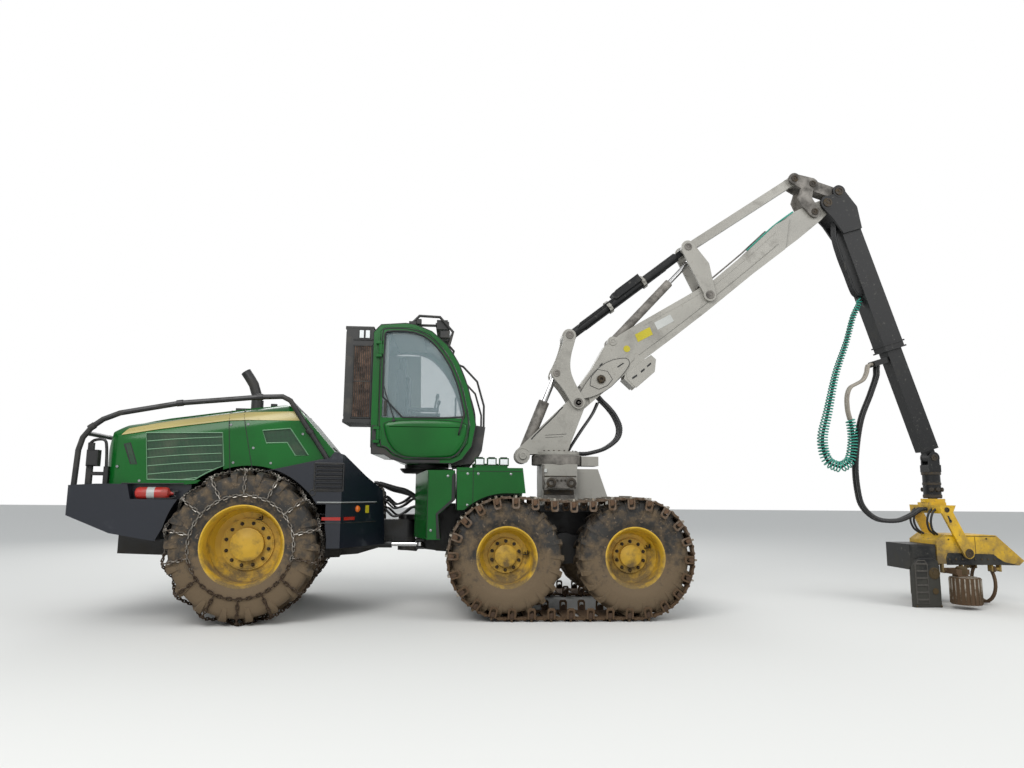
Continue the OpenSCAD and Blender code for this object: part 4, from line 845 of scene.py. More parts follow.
def on_hood(x, z, out=0.0):
    """Places on the hood's right side: flat below, and above it a quarter circle down from the top plane.

    The depth below the top plane is TOP_Z + TOP_RISE (x - TOP_X) - z, times the cosine of the plane's slope.
    Where it is less than the edge's radius r, Y comes in from the side by r - sqrt(r^2 - (r - depth)^2).
    """
    x, z = np.asarray(x, float), np.asarray(z, float)
    depth = (TOP_Z + TOP_RISE * (x - TOP_X) - z) * TOP_COSINE
    high = np.clip(HOOD_ROUND - depth, 0, HOOD_ROUND - 2)
    y = -(HOOD_Y - HOOD_ROUND) - np.sqrt(HOOD_ROUND ** 2 - high ** 2)
    return np.stack([x, y - out * np.cos(high / HOOD_ROUND), z + out * high / HOOD_ROUND], -1)


def skin_band(x, low, high, out, sunk, rows=8):
    """A strip that lies on the skin between a lower and an upper edge, given at the places x."""
    share = np.linspace(0, 1, rows)[None]
    z = low[:, None] * (1 - share) + high[:, None] * share
    xx = np.repeat(x[:, None], rows, 1)
    rings = np.concatenate([on_hood(xx, z, out), on_hood(xx, z, -sunk)[:, ::-1]], 1)
    return rings.reshape(-1, 3), stacked(len(x), 2 * rows)


x = np.linspace(-3215, -1290, 90)
low = np.interp(x, [-3215, -2847, -2571, -2086, -1878, -1290], [2052, 2122, 2168, 2240, 2250, 2256])
high = np.interp(x, [-3215, -3156, -2855, -2579, -2098, -1884, -1364, -1290],
                 [2058, 2128, 2198, 2248, 2322, 2346, 2363, 2280])
# Vinyl film, smooth and a little faded
pale_film = weathered("pale_film", "#a89a60", "#6d6445", gloss=0.3, dirt_share=0.12, bump=0.02)
piece("hood_stripe", both_sides([skin_band(x, low, high, 1.5, 5.0)]), pale_film, "rear_frame")

# Rubber that fills the gaps between doors and round panes; the same black is also painted shade in a groove,
# in slots, in a strip where a side is set back and under a ridge
seal_rubber_and_shade = weathered("seal_rubber_and_shade", "#0e0f10", "#3a3833", gloss=0.6, dirt_share=0.2, bump=0.05)
lines = [(-2094, 2374, -2036, 1640), (-1944, 2392, -1789, 1640), (-3178, 1951, -3093, 1725),
         (-3112, 1969, -3026, 1726)]
seams = [tube(on_hood(np.linspace(x0, x1, 20), np.linspace(z0, z1, 20), out=-1.5), 4.5, 8)
         for x0, z0, x1, z1 in lines]
seams.append(plate([(-3178, 1951), (-3112, 1969), (-3026, 1726), (-3093, 1725)], -HOOD_Y - 1.0, -HOOD_Y + 12,
                   1.0))
# Sill between hood and body, and a bead along the hood's lower edge
seams.append(tube(on_hood(*smooth([(-3170, 1516), (-2700, 1516), (-2520, 1520)], 6).T, out=-1), 7, 8))
seams.append(tube(on_hood(*smooth([(-1660, 1664), (-1400, 1724), (-1150, 1782), (-950, 1830)], 6).T, out=-1),
                  7, 8))
piece("hood_seams", both_sides(seams), seal_rubber_and_shade, "rear_frame")
quick = [turned([(0, -3), (15, -3), (15, 2), (12, 5), (6, 5), (5, 2), (0, 2)], 20, on_hood(px, pz))
         for px, pz in ((-2060, 2190), (-2010, 1760), (-1870, 2200), (-1800, 1930), (-1260, 2100),
                        (-3230, 1700), (-2990, 1545), (-1600, 1760))]
# Quarter-turn fasteners of zinc-plated steel, pale dots on the paint
fasteners = weathered("zinc_steel", "#8e9092", "#55514a", metal=0.8, dirt_share=0.2, bump=0.05)
piece("hood_fasteners", both_sides(quick), fasteners, "rear_frame")
print("stripe, seams and fasteners on the hood")

# %% [markdown]
# ## Mesh in the hood's openings
# Air is drawn through woven wire that keeps needles out. At this distance the wires are finer than a pixel,
# so the mesh is a thin plate whose material has a grid of holes, 14 mm apart, in its colour and bump. The
# frames round it and the long pressed ribs are real shapes.

# %% Wire mesh
def wire_mesh(name, wire, hole, pitch_mm):
    """Wires where the sine of X or the sine of Z, each once per pitch, is high; holes in between."""
    made, tree, shader, at = material(name)
    split = node(tree, "SeparateXYZ", {"Vector": at})
    waves = []
    for axis in ("X", "Z"):
        turn = node(tree, "Math", {0: split.outputs[axis], 1: 2 * math.pi * 1000 / pitch_mm},
                    operation="MULTIPLY")
        waves.append(node(tree, "Math", {0: turn.outputs[0]}, operation="SINE"))
    top = node(tree, "Math", {0: waves[0].outputs[0], 1: waves[1].outputs[0]}, operation="MAXIMUM")
    share = node(tree, "MapRange", {"Value": top.outputs[0], "From Min": 0.35, "From Max": 0.75})
    dust = node(tree, "TexNoise", {"Vector": at, "Scale": 1000 / 260, "Detail": 5})
    dusty = node(tree, "MapRange", {"Value": dust.outputs[0], "From Min": 0.5, "From Max": 0.72,
                                    "To Max": 0.35})
    paint = node(tree, "Mix", {0: share.outputs[0], 6: colour(hole), 7: colour(wire)}, data_type="RGBA")
    skin = node(tree, "Mix", {0: dusty.outputs[0], 6: paint.outputs[2], 7: colour("#5a5a48")},
                data_type="RGBA")
    relief = node(tree, "Bump", {"Height": share.outputs[0], "Strength": 0.6, "Distance": 0.004})
    plug(tree, shader, {"Base Color": skin.outputs[2], "Normal": relief.outputs[0], "Roughness": 0.5})
    return made


# Green wire over holes painted dark as the shade behind them, which reads as a darker green from afar
green_mesh = wire_mesh("green_mesh", "#1b4a2a", "#07120b", 14)
VENT = [(-1708, 2133), (-1401, 2163), (-1186, 1858), (-1330, 1850), (-1430, 2000), (-1660, 1990)]
side_mesh = [(-2955, 2079), (-2142, 2097), (-2108, 1724), (-2190, 1690), (-2290, 1640), (-2370, 1590),
             (-2410, 1562), (-2909, 1562)]
meshes = [plate(side_mesh, -HOOD_Y + 8, -HOOD_Y + 20, 1.0), plate(VENT, -HOOD_Y + 10, -HOOD_Y + 22, 1.0),
          plate([(-3160, 1946), (-3116, 1958), (-3036, 1732), (-3086, 1731)], -HOOD_Y - 2, -HOOD_Y + 4, 1.0)]
piece("hood_mesh", both_sides(meshes), green_mesh, "rear_frame", ["hood_grilles"])
ribs = []
for k, end in enumerate((-2141, -2141, -2141, -2141, -2200, -2390)):
    z = 2030 - k * 92
    ribs.append(tube(smooth([(-2938 + 6 * k, -HOOD_Y + 6, z - 44), (-2560, -HOOD_Y + 6, z - 8),
                             (end, -HOOD_Y + 6, z + 18)], 6), 5.5, 8))
ribs += [tube(at_y(VENT, -HOOD_Y), 7, 8, closed=True), tube(at_y(side_mesh, -HOOD_Y), 8, 8, closed=True)]
# Grey-green, paler than the hood's enamel: a painted highlight where the ribs and frames catch the light
rib_green = weathered("rib_green", "#5b8562", "#5c5f48", dirt_share=0.15)
piece("hood_ribs", both_sides(ribs), rib_green, "rear_frame", ["hood_grilles"])

# The louvred cooling panel on the slope towards the cab
down = np.array([416, -479.0]) / math.hypot(416, 479)
out = np.array([-down[1], down[0]])
slope = lambda s, h: (-1305 + s * down[0] + h * out[0], 2379 + s * down[1] + h * out[1])
louvre = [plate([slope(60 + s, 2), slope(96 + s, 2), slope(92 + s, 8), slope(64 + s, 20)], -800, 800, 1.0)
          for s in range(0, 11 * 44, 44)]
louvre += [plate([slope(s0, -2), slope(s1, -2), slope(s1, 24), slope(s0, 24)], y0, y1, 2)
           for s0, s1, y0, y1 in ((40, 54, -840, 840), (556, 570, -840, 840), (40, 570, -840, -812),
                                  (40, 570, 812, 840))]
# Pale enamel of the louvre, dusty in its corners, and the painted highlight of bright edges
grey_enamel_and_highlight = weathered("grey_enamel_and_highlight", "#a3a5a2", "#6a665c", dirt_share=0.2)
piece("hood_front_louvre", at_rear(louvre), grey_enamel_and_highlight, "rear_frame")
print("mesh, ribs and louvre")

# %% [markdown]
# ## Round the rear body
# The rest of the rear frame carries small fittings: a lamp bracket by the rail, the fire extinguisher with
# its band and valve, the frame and slats of the side box's vent, marker lamps and reflectors, and the sleeves
# of the guard rail. Each is a few plates, tubes and lathe shapes.

# %% Fittings of the rear body
SIDE_Y, CORNER_X, FACE_RISE = -1250.0, -790, 1.5
# The slanted face: its direction outwards, and along it towards the joint
face_out, face_along = np.array([0.832, -0.555, 0.0]), np.array([0.555, 0.832, 0.0])


def side_face(x):
    """The side box's plan: level with the body's side behind the corner, then in towards the joint."""
    x = np.asarray(x, float)
    return np.where(x < CORNER_X, SIDE_Y, SIDE_Y + (x - CORNER_X) * FACE_RISE)


# Vent: a frame with seven slats over the slots of the side box
vent_ring = at_y([(-1098, 1452), (-776, 1452), (-776, 1764), (-1098, 1764)], SIDE_Y - 4)
black_bits = [tube(vent_ring[[a, b]], 9, 8) for a, b in ((0, 1), (1, 2), (2, 3), (3, 0))]
black_bits += [block((-1086, -1272, z), (-786, -1240, z + 10), 2)
               for z in (1464, 1512, 1560, 1608, 1656, 1704, 1748)]
# Cable ring, seam of the box and its lower lid
black_bits.append(tube(ring_places(24, 32, (-1113, SIDE_Y - 4, 1430)), 6, 8, closed=True))
x = np.array([-1060, -790, -700, -600, -500, -400.0])
seam = lambda z, radius: tube(np.stack([x, side_face(x) - 1, np.full(6, float(z))], -1), radius, 8)
black_bits += [seam(1310, 6), seam(1090, 6)]
# Support bracket of the rear lamp and the grab frame behind the hood
black_bits += [block((-3560, -1120, 1500), (-3500, -1060, 1960), 8),
               block((-3380, -1120, 1500), (-3330, -1060, 1700), 8),
               block((-3548, -1180, 1700), (-3430, -1050, 1880), 14),
               block((-3560, -1115, 1600), (-3335, -1070, 1640), 6)]
black_bits.append(tube(smooth([(-3555, -1090, 1940), (-3500, -1090, 1990), (-3400, -1090, 1992),
                               (-3372, -1090, 1900), (-3360, -1090, 1690)], 6), 16, 10))
piece("rear_fittings", both_sides(black_bits), frame_black, "rear_frame")
# A pale line along the side box's upper edge, over its seam: a painted highlight
piece("rear_edge_lines", both_sides([seam(1324, 5)]), grey_enamel_and_highlight, "rear_frame")
# Sleeves where the guard rail's tubes are joined
rail = [sleeve(26, 37, -34, 34, 24, (px, -1190, pz),
               (math.cos(math.atan(rise)), 0, math.sin(math.atan(rise))))
        for px, pz, rise in ((-3506, 2130, 0.75), (-2610, 2418, 0.14), (-1751, 2512, 0.08),
                             (-1180, 2130, -0.97))]
piece("rail_sleeves", both_sides(rail), frame_black, "rear_frame")
# Exhaust: a heat shield round the stack, a low box at its foot, and the end of a second pipe
shield = [sleeve(62, 74, 0, 150, 32, (-1905, -400, 2410), UP),
          block((-2140, -520, 2376), (-1780, -180, 2450), 22),
          tube([(-1700, -420, 2440), (-1700, -420, 2520)], 40, 20)]
piece("exhaust_shield", at_rear(shield), frame_black, "rear_frame")
# Extinguisher: domed head, pale band, lever and hose, drawn about its own axis
axis = (0, -1180, 1411), (1, 0, 0)
bottle = turned([(0, -3012), (30, -3010), (56, -2996), (66, -2972), (66, -2690), (56, -2664), (30, -2652),
                 (18, -2640), (18, -2610), (0, -2606)], 40, *axis)
lever = [block((-2640, -1192, 1424), (-2560, -1168, 1440), 4),
         block((-2632, -1196, 1396), (-2590, -1164, 1432), 6),
         tube(smooth([(-2612, -1180, 1398), (-2590, -1190, 1370), (-2640, -1215, 1356),
                      (-2800, -1232, 1356)], 6), 7, 8)]
band = sleeve(64, 67.5, -2880, -2800, 40, *axis)
for name, parts, finish, slot in (("bottle", [bottle], red_enamel, "red_paint"),
                                  ("band", [band], grey_enamel_and_highlight, "crane_grey"),
                                  ("valve", lever, frame_black, "black_paint")):
    piece("extinguisher_" + name, at_rear(parts), finish, "rear_frame", ["extinguisher"])
# Marker lamp, plain yellow plate and red reflector on the slanted face
spot = lambda px, z: np.array([px, float(side_face(px)), z])
lens = [turned([(0, -2), (38, -2), (38, 10), (30, 20), (14, 26), (0, 27)], 32, spot(-615, 1246), face_out)]
piece("side_lamp", both_sides(lens), lamp_orange, "rear_frame")


def tag(middle, w, h, thick=3.0):
    """A thin upright plate on the slanted face, from its middle, width and height."""
    corners = [middle + face_along * sx * w / 2 + np.array([0, 0, sz * h / 2]) + face_out * t
               for t in (-2, thick) for sx, sz in ((-1, -1), (1, -1), (1, 1), (-1, 1))]
    return np.array(corners), stacked(2, 4)


# Printed plates, left blank: an even colour with little relief
yellow_plate = weathered("yellow_plate", "#b3a626", "#6a6440", gloss=0.3, dirt_share=0.12, bump=0.02)
piece("side_plate", both_sides([tag(spot(-505, 1240), 70, 90)]), yellow_plate, "rear_frame")
strip_x = np.array([-1000, -900, CORNER_X])
section = ((-4, 1120), (-4, 1156), (3, 1156), (3, 1120))
reflector = [(np.concatenate([np.stack([strip_x, side_face(strip_x) + t, np.full(3, z)], -1)
                              for t, z in section]),
              [grid(4, 3, loop_rows=True), np.array([[0, 3, 6, 9], [2, 5, 8, 11]])]),
             tag(spot(-700, 1138), 200, 36, 4.0)]
piece("side_reflectors", both_sides(reflector), red_enamel, "rear_frame")
print("fittings of the rear body")

# %% [markdown]
# ## Cab
# The cab is a welded safety cell with a big round window in its door. Below the window the door's skin is
# drawn out into a shallow bulge, a pillow: its outline is repeated further in, and each copy lies further
# out along a quarter circle. Black rubber frames the glass and closes the gap round the door.

# %% Cab and door
CAB_Y, DOOR_Y, CAB_TURN = 779, -799, (-1750, 0, 0)
CAB_OUTLINE = [(-2400, 1906), (-2420, 2300), (-2420, 3430), (-2330, 3530), (-2020, 3555), (-1900, 3540),
               (-1690, 3455), (-1500, 3290), (-1350, 3060), (-1230, 2760), (-1150, 2420), (-1120, 2280),
               (-1170, 2010), (-1290, 1850), (-1400, 1800), (-2000, 1800), (-2160, 1850), (-2240, 1900)]
WINDOW = [(-2287, 2355), (-2287, 3405), (-2240, 3450), (-1938, 3450), (-1746, 3375), (-1590, 3225),
          (-1450, 3020), (-1340, 2750), (-1265, 2425), (-1262, 2355)]
DOOR = [(-2325, 2000), (-2325, 3450), (-2270, 3490), (-1938, 3490), (-1725, 3410), (-1560, 3255),
        (-1415, 3040), (-1300, 2760), (-1222, 2425), (-1200, 2280), (-1225, 2060), (-1330, 1900),
        (-1440, 1850), (-1980, 1850), (-2130, 1900), (-2230, 1990)]


def pillow(outline, y, rise, width, steps=6):
    """Copies of the outline, moved in by w (1 - cos a) and out by h sin a, for a from 0 to 90 degrees."""
    a = np.linspace(0, math.pi / 2, steps)
    rings = [at_y(inset(outline, 0.1), y + 4)]
    rings += [at_y(inset(outline, width * (1 - math.cos(t)) + 0.1), y - rise * math.sin(t)) for t in a]
    return np.concatenate(rings), stacked(len(rings), len(outline))


def closed_run(outline, rounds=2):
    """A closed outline with its corners softened: each round cuts every side at its quarters."""
    p = np.asarray(outline, float)
    for _ in range(rounds):
        q = np.roll(p, -1, 0)
        p = np.stack([0.75 * p + 0.25 * q, 0.25 * p + 0.75 * q], 1).reshape(-1, 2)
    return p


BULGE = [(-2262, 2330), (-2240, 2180), (-2190, 2040), (-2110, 1940), (-2010, 1884), (-1900, 1866),
         (-1450, 1866), (-1355, 1915), (-1275, 2040), (-1236, 2190), (-1236, 2330)]
piece("door_bulge", at_front([pillow(closed_run(BULGE), DOOR_Y, 24, 60)]), enamel_green, "cab_door")
grip = [block((-2262, -826, 2372), (-2226, -800, 2560), 6),
        block((-2256, -836, 2440), (-2232, -822, 2520), 4),
        tube(smooth([(-1330, -806, 2150), (-1330, -846, 2170), (-1296, -852, 2300), (-1270, -846, 2420),
                     (-1276, -806, 2440)], 6), 11, 10)]
seal = [tube(at_y(closed_run(inset(DOOR, 9)), DOOR_Y), 8, 8, closed=True),
        tube(at_y(closed_run(inset(WINDOW, 3), 1), DOOR_Y + 2), 12, 8, closed=True),
        tube(at_y(closed_run(inset(BULGE, -5)), DOOR_Y), 4, 8, closed=True)]
wiper = [tube(smooth([(-2253, -808, 2683), (-2210, -814, 2560), (-2134, -808, 2339)], 6), 7, 8),
         turned([(0, 0), (20, 0), (20, 22), (0, 26)], 20, (-2134, -800, 2320)),
         tube([(-2266, -800, 2740), (-2239, -800, 2625)], 6, 6)]
piece("door_seals", at_front(seal + wiper), seal_rubber_and_shade, "cab_door")
piece("door_grips", at_front(grip), frame_black, "cab_door")
left_seal = tube(at_y(closed_run(inset(WINDOW, 3), 1), CAB_Y), 12, 8, closed=True)
piece("left_window_seal", at_front([left_seal]), seal_rubber_and_shade, "cab")

# Windscreen frame: a rubber strip on each pillar and across both ends, a wiper, and beads on the cab's edges
front_curve = smooth([(-1640, 3418), (-1500, 3290), (-1350, 3060), (-1230, 2760), (-1150, 2420),
                      (-1138, 2350)], 6)
trim = [tube(at_y(front_curve + (2, 1), y), 9, 8) for y in (-664, 664)]
trim += [tube([(-1136, -664, 2348), (-1136, 664, 2348)], 10, 8),
         tube([(-1634, -664, 3414), (-1634, 664, 3414)], 10, 8),
         tube(smooth([(-1112, 300, 2330), (-1120, 160, 2500), (-1166, -120, 2640), (-1200, -330, 2700)], 6),
              9, 8), turned([(0, 0), (26, 0), (26, 30), (0, 34)], 20, (-1140, 300, 2330), (1, 0, 0))]
corners = inset(CAB_OUTLINE, 1)
trim += [tube(at_y(pair, y), 5, 6) for y in (-CAB_Y, CAB_Y) for pair in zip(corners, np.roll(corners, -1, 0))]
piece("cab_trim", at_front(trim), seal_rubber_and_shade, "cab")

# Lower skirt: black sheet on both sides and at the back, and a band round the swing ring
skirt = [(-2402, 2260), (-2338, 2250), (-2338, 2000), (-2240, 1976), (-2136, 1886), (-2000, 1842),
         (-1560, 1842), (-1560, 1806), (-2002, 1806), (-2163, 1856), (-2242, 1906), (-2396, 1912)]
skirts = [plate(skirt, y, y + 5, 1) for y in (-785, 780)]
skirts += [plate([(-2424, 1990), (-2414, 1990), (-2418, 2260), (-2428, 2260)], -700, 700, 1),
           sleeve(279, 290, 1762, 1799, 64, CAB_TURN, UP)]
piece("cab_skirt", at_front(skirts), frame_black, "cab")

# Lamps: a bezel and a lens on each housing of the row, two at the front corners, two on the roof, and two on
# the intake column
bezels, glass = [], []
for y in (-575, -465, -255, -145, 145, 255, 465, 575):
    bezels.append(turned([(36, 0), (50, 0), (50, 16), (42, 16), (36, 6)], 24, (-1500, y, 3582), (1, 0, 0)))
    glass.append(turned([(0, 0), (38, 0), (38, 4), (26, 9), (0, 11)], 24, (-1500, y, 3582), (1, 0, 0)))
side_lamps = []
for y in (-640, 640):
    side_lamps += [block((-1600, y - 50, 3388), (-1470, y + 50, 3492), 12),
                   block((-1590, y - 20, 3340), (-1560, y + 20, 3400), 5)]
    glass.append(turned([(0, 0), (40, 0), (40, 4), (26, 9), (0, 11)], 24, (-1470, y, 3440), (1, 0, 0)))
    side_lamps.append(block((-1905, y * 0.98 - 46, 3566), (-1835, y * 0.98 + 46, 3640), 10))
    glass.append(block((-1912, y * 0.98 - 38, 3574), (-1903, y * 0.98 + 38, 3632), 3))
for a in (-2600, -2525):
    bezels.append(block((a - 5, -758, 3345), (a + 65, -748, 3465), 3))
    glass.append(block((a + 4, -764, 3356), (a + 56, -752, 3454), 3))
# Ribbed lens glass over a bright reflector, nearly white
lamp_glass = weathered("lamp_glass", "#dfe3e2", "#85837c", gloss=0.08, dirt_share=0.15, bump=0.02)
piece("cab_lamp_bezels", at_front(bezels + side_lamps), plain_trim, "cab")
piece("cab_lamp_lenses", at_front(glass), lamp_glass, "cab")

# Air intake column: a framed panel of upright slats on each side, bars on its back and a lid
slats, bars = [], []
for slat_y, bar_y in (((-759, -750), (-763, -750)), ((-110, -101), (-110, -97))):
    slats += [block((a, slat_y[0], 2362), (a + 13, slat_y[1], 3250), 2)
              for a in range(-2648, -2648 + 9 * 23, 23)]
    bars += [block((-2668, bar_y[0], z), (-2430, bar_y[1], z + 12), 2) for z in (2345, 2800, 3253, 3330)]
    bars += [block((a, bar_y[0], 2345), (a + 12, bar_y[1], 3265), 2) for a in (-2672, -2442)]
bars += [block((-2768, -720 + 88 * k, 2370), (-2759, -690 + 88 * k, 3440), 3) for k in range(7)]
bars += [block((-2772, -752, 3470), (-2420, -108, 3508), 10)]
# Louvres of bare steel gone bronze with rust
rusty_bronze = weathered("rusty_bronze", "#5a4334", "#2b211a", gloss=0.45, metal=0.5, dirt_share=0.4,
                         patch_mm=70)
piece("intake_slats", at_front(slats), rusty_bronze, "cab")
piece("intake_frames", at_front(bars), plain_trim, "cab")

# Inside: light panels, headrest, arm rests with levers, screen, wheel post
lining = [block((-2392, -742, 1990), (-2372, 742, 2480), 6),
          block((-2310, -700, 2360), (-2236, -620, 3420), 10),
          plate([(-2380, 2340), (-2380, 3400), (-1905, 3400), (-1882, 2420), (-1882, 2340)], 700, 730, 4),
          block((-2200, -600, 3440), (-1800, 600, 3470), 10)]
# Light grey plastic of the lining, matt and even
light_panel = weathered("light_panel", "#a9a79d", "#6c6a62", gloss=0.6, dirt_share=0.15, bump=0.02)
piece("cab_lining", at_front(lining), light_panel, "cab")
inside = [block((-2140, -150, 3040), (-2060, 150, 3230), 30),
          block((-2044, -240, 2325), (-1540, 240, 2372), 24),
          block((-2046, -230, 2372), (-1996, 230, 2960), 24)]
for y in (-340, 340):
    inside += [block((-1990, y - 45, 2480), (-1600, y + 45, 2530), 14),
               block((-1960, y - 20, 2300), (-1900, y + 20, 2482), 6),
               tube(smooth([(-1650, y, 2525), (-1640, y, 2590), (-1624, y, 2660)], 5), 14, 10),
               turned([(0, -30), (18, -26), (26, 0), (18, 34), (0, 40)], 16, (-1620, y, 2680), (0.2, 0, 1))]
inside += [block((-1400, 330, 2560), (-1376, 590, 2760), 8),
           tube([(-1390, 460, 2340), (-1390, 460, 2570)], 12, 10),
           block((-1470, -640, 1850), (-1300, 640, 2200), 20)]
piece("cab_controls", at_front(inside), plain_trim, "cab")
print("cab, door, lamps and intake")

# %% [markdown]
# ## Boxes and lamps of the front frame
# The tank and the tool box beside the crane are folded sheet: a lid with a gap all round, quarter-turn locks,
# a strip of painted shade where the tank's side is set back. On the box stand three work lamps with pale
# lenses.

# %% Front boxes
BOX_Y, TANK_Y = -1100, -1050
seams = [tube(at_y([(-1150, 1738), (-1150, 1250)], BOX_Y), 3.5, 6),
         tube(at_y([(-1340, 1700), (-562, 1700)], BOX_Y), 3.5, 6),
         tube(at_y([(-1684, 1690), (-1684, 905)], TANK_Y + 1), 4, 6),
         # A dark strip where the tank's side is set back from the box: painted shade
         plate([(-1400, 1640), (-1369, 1690), (-1363, 1360), (-1558, 1186), (-1530, 905), (-1572, 905),
                (-1586, 1196), (-1402, 1366)], -1056, -1048, 2),
         block((-1352, -1040, 1250), (-1344, -620, 1735), 2)]
locks = [turned([(0, -3), (15, -3), (15, 3), (10, 6), (0, 6)], 20, place) for place in
         ((-1215, BOX_Y, 1668), (-1090, BOX_Y, 1668), (-700, BOX_Y, 1668), (-1215, BOX_Y, 1300),
          (-1450, TANK_Y, 1640), (-1640, TANK_Y, 1000))]
lens = []
for px in (-1075, -930, -785):
    seams += [block((px - 52, -1099, 1771), (px + 52, -1093, 1852), 2),
              block((px - 40, -1082, 1856), (px + 40, -998, 1870), 8)]
    lens.append(block((px - 44, -1104, 1779), (px + 44, -1096, 1844), 3))
piece("front_box_seams_and_shade", on_both(seams), seal_rubber_and_shade, "front_frame")
piece("front_box_locks", on_both(locks), fasteners, "front_frame")
piece("front_lamp_lenses", on_both(lens), lamp_glass, "front_frame")
# The skirt round the swing ring under the cab, which keeps chips out
ring_skirt = turned([(299, 1752), (352, 1752), (352, 1742), (316, 1700), (299, 1700)], 64, CAB_TURN, UP)
piece("cab_ring_skirt", at_front([ring_skirt]), frame_black, "front_frame")
print("front boxes")

# %% [markdown]
# ## Crane
# The crane's plates are flame-cut from thick sheet and show their pins: each joint has a round boss with a
# recess and a grease nipple. The pieces here lie on the drawing's plates and ride with them.

# %% Crane
# The pillar's axis, the outer faces of its plates and the boom's, and the crane's pins in X and Z
PILLAR, PILLAR_Y, BOOM_Y = (-10, 0, 0), -150, -130
LIFT_FOOT, HUB, ROCKER_MID, ROCKER_TOP, PLATE_TOP, PLATE_FOOT, JIB_LUG = np.array(
    [(-480, 1937), (262, 2653), (-33, 3047), (148, 3577), (1826, 4883), (2120, 4198), (752, 3509)], float)
KNUCKLE, SHOE_FOOT, SHOE_HEAD, SHOE_PIN, STICK_PIN = np.array(
    [(3885, 5607), (3710, 5483), (3436, 5973), (3699, 5901), (4065, 5785)], float)


def pin_head(centre, y, radius, side=-1):
    """The end of a joint pin: a chamfered boss with a recess and a nipple in its middle."""
    profile = [(0, -2), (radius, -2), (radius, 8), (radius - 4, 12), (radius * 0.62, 12), (radius * 0.6, 5),
               (radius * 0.25, 5), (radius * 0.22, 11), (0, 12)]
    return turned(profile, 32, (centre[0], y, centre[1]), (0, side, 0))


# Rocker: two plates with hollow flanks, kept apart by pins
flank = [(142, 3664), (205, 3640), (235, 3580), (215, 3480), (170, 3330), (150, 3190), (160, 3060),
         (215, 2920), (300, 2780), (352, 2690), (345, 2600), (262, 2558), (180, 2600), (140, 2690),
         (40, 2850), (-60, 2960), (-110, 3030), (-100, 3100), (-50, 3190), (10, 3330), (55, 3480), (68, 3600)]
rocker = [plate(closed_run(flank), -195, -155, 5)]
rocker += [sleeve(0, 33, start, 158, 24, (x, 0, z)) for (x, z), start in ((ROCKER_MID, 40), (ROCKER_TOP, 0))]
piece("rocker_plates", on_both(rocker), crane_grey, "rocker", ["rocker"])
pins = [pin_head(centre, -195, radius) for centre, radius in ((HUB, 62), (ROCKER_MID, 48), (ROCKER_TOP, 54))]
piece("rocker_pins", on_both(pins), crane_shadow, "rocker")

# Pillar: a folded edge's groove as a dark line of painted shade, two seams as dark lines,
# welds round the foot's pin and the deck, the ring's bolts
fold_shade = smooth([(-363, 2153), (-330, 2200), (-60, 2470), (10, 2550), (55, 2593)], 4)
dark_lines = [tube(at_y(fold_shade, PILLAR_Y), 8, 8), tube(at_y([(-180, 2212), (104, 2232)], PILLAR_Y), 3, 6),
              tube(at_y([(-180, 2180), (60, 2196)], PILLAR_Y), 2.5, 6)]
piece("pillar_lines", on_both(dark_lines), seal_rubber_and_shade, "crane_pillar")
foot_weld = tube(at_y([LIFT_FOOT + 98 * np.array([math.cos(a), math.sin(a)])
                       for a in np.linspace(0.6, 5.4, 24)], PILLAR_Y), 6, 6)
deck_weld = turned([(296, 1955), (308, 1955), (308, 1990), (296, 1996)], 64, PILLAR, UP)
pillar_bolts = bolts([(-10 + 270 * math.cos(a), 270 * math.sin(a), 1995)
                      for a in np.linspace(0, 2 * math.pi, 24, endpoint=False)], 13, 14, UP)
piece("pillar_welds", on_both([foot_weld, pin_head(LIFT_FOOT, -160, 50)]) + at_front([deck_weld]), crane_grey,
      "crane_pillar")
piece("pillar_bolts", at_front([pillar_bolts]), dark_steel, "crane_pillar")

# Boom: the root's cheek, the hexagonal wear plate, nut, slots painted dark as shade, weld lines with a
# painted shadow under one, and blank signs
almond = [(258, 2738), (377, 2944), (515, 3118), (687, 3241), (911, 3291), (979, 3247), (961, 3161),
          (821, 2987), (683, 2848), (478, 2742), (308, 2705)]
hexagon = [(428, 2894), (446, 3014), (532, 3118), (668, 3093), (736, 2985), (666, 2898), (547, 2845)]
cheeks = [plate(closed_run(almond, 1), -149.5, -128, 4), plate(hexagon, -153.5, -148, 2),
          pin_head(JIB_LUG, BOOM_Y, 52),
          plate([(930, 3078), (1034, 3166), (1279, 3337), (1347, 3276), (1327, 3103), (1064, 2874),
                 (946, 2992)], -137, -129, 3),
          tube(at_y([(1110, 3340), (1494, 3629), (2023, 4045), (2701, 4605), (3150, 4985)], BOOM_Y), 7, 6),
          tube(at_y([(1180, 3745), (1860, 4140), (2240, 4380), (2700, 4770), (3120, 5150)], BOOM_Y), 4, 6)]
outlines_and_shadow = [tube(at_y(closed_run(almond, 1), -149), 4, 6, closed=True),
          tube(at_y(hexagon, -153), 4, 6, closed=True),
          # The last line runs just under the ridge line above: a painted shadow of that ridge
          tube(at_y([(1110, 3334), (1494, 3622), (2023, 4038), (2701, 4598), (3150, 4978)], BOOM_Y - 1), 3,
               6)]
piece("boom_outlines_and_shadow", on_both(outlines_and_shadow), seal_rubber_and_shade, "main_boom")
piece("boom_plates", on_both(cheeks), crane_grey, "main_boom")
piece("link_pins", on_both([pin_head(PLATE_FOOT, -176, 60), pin_head(PLATE_TOP, -176, 52)]), crane_shadow,
      "link_plates")
nut = turned([(22, 0), (48, 0), (48, 22), (42, 26), (26, 26), (22, 20)], 6, (578, -165, 2981))
washer = turned([(0, -2), (60, -2), (60, 4), (56, 6), (0, 6)], 32, (578, -164, 2981))
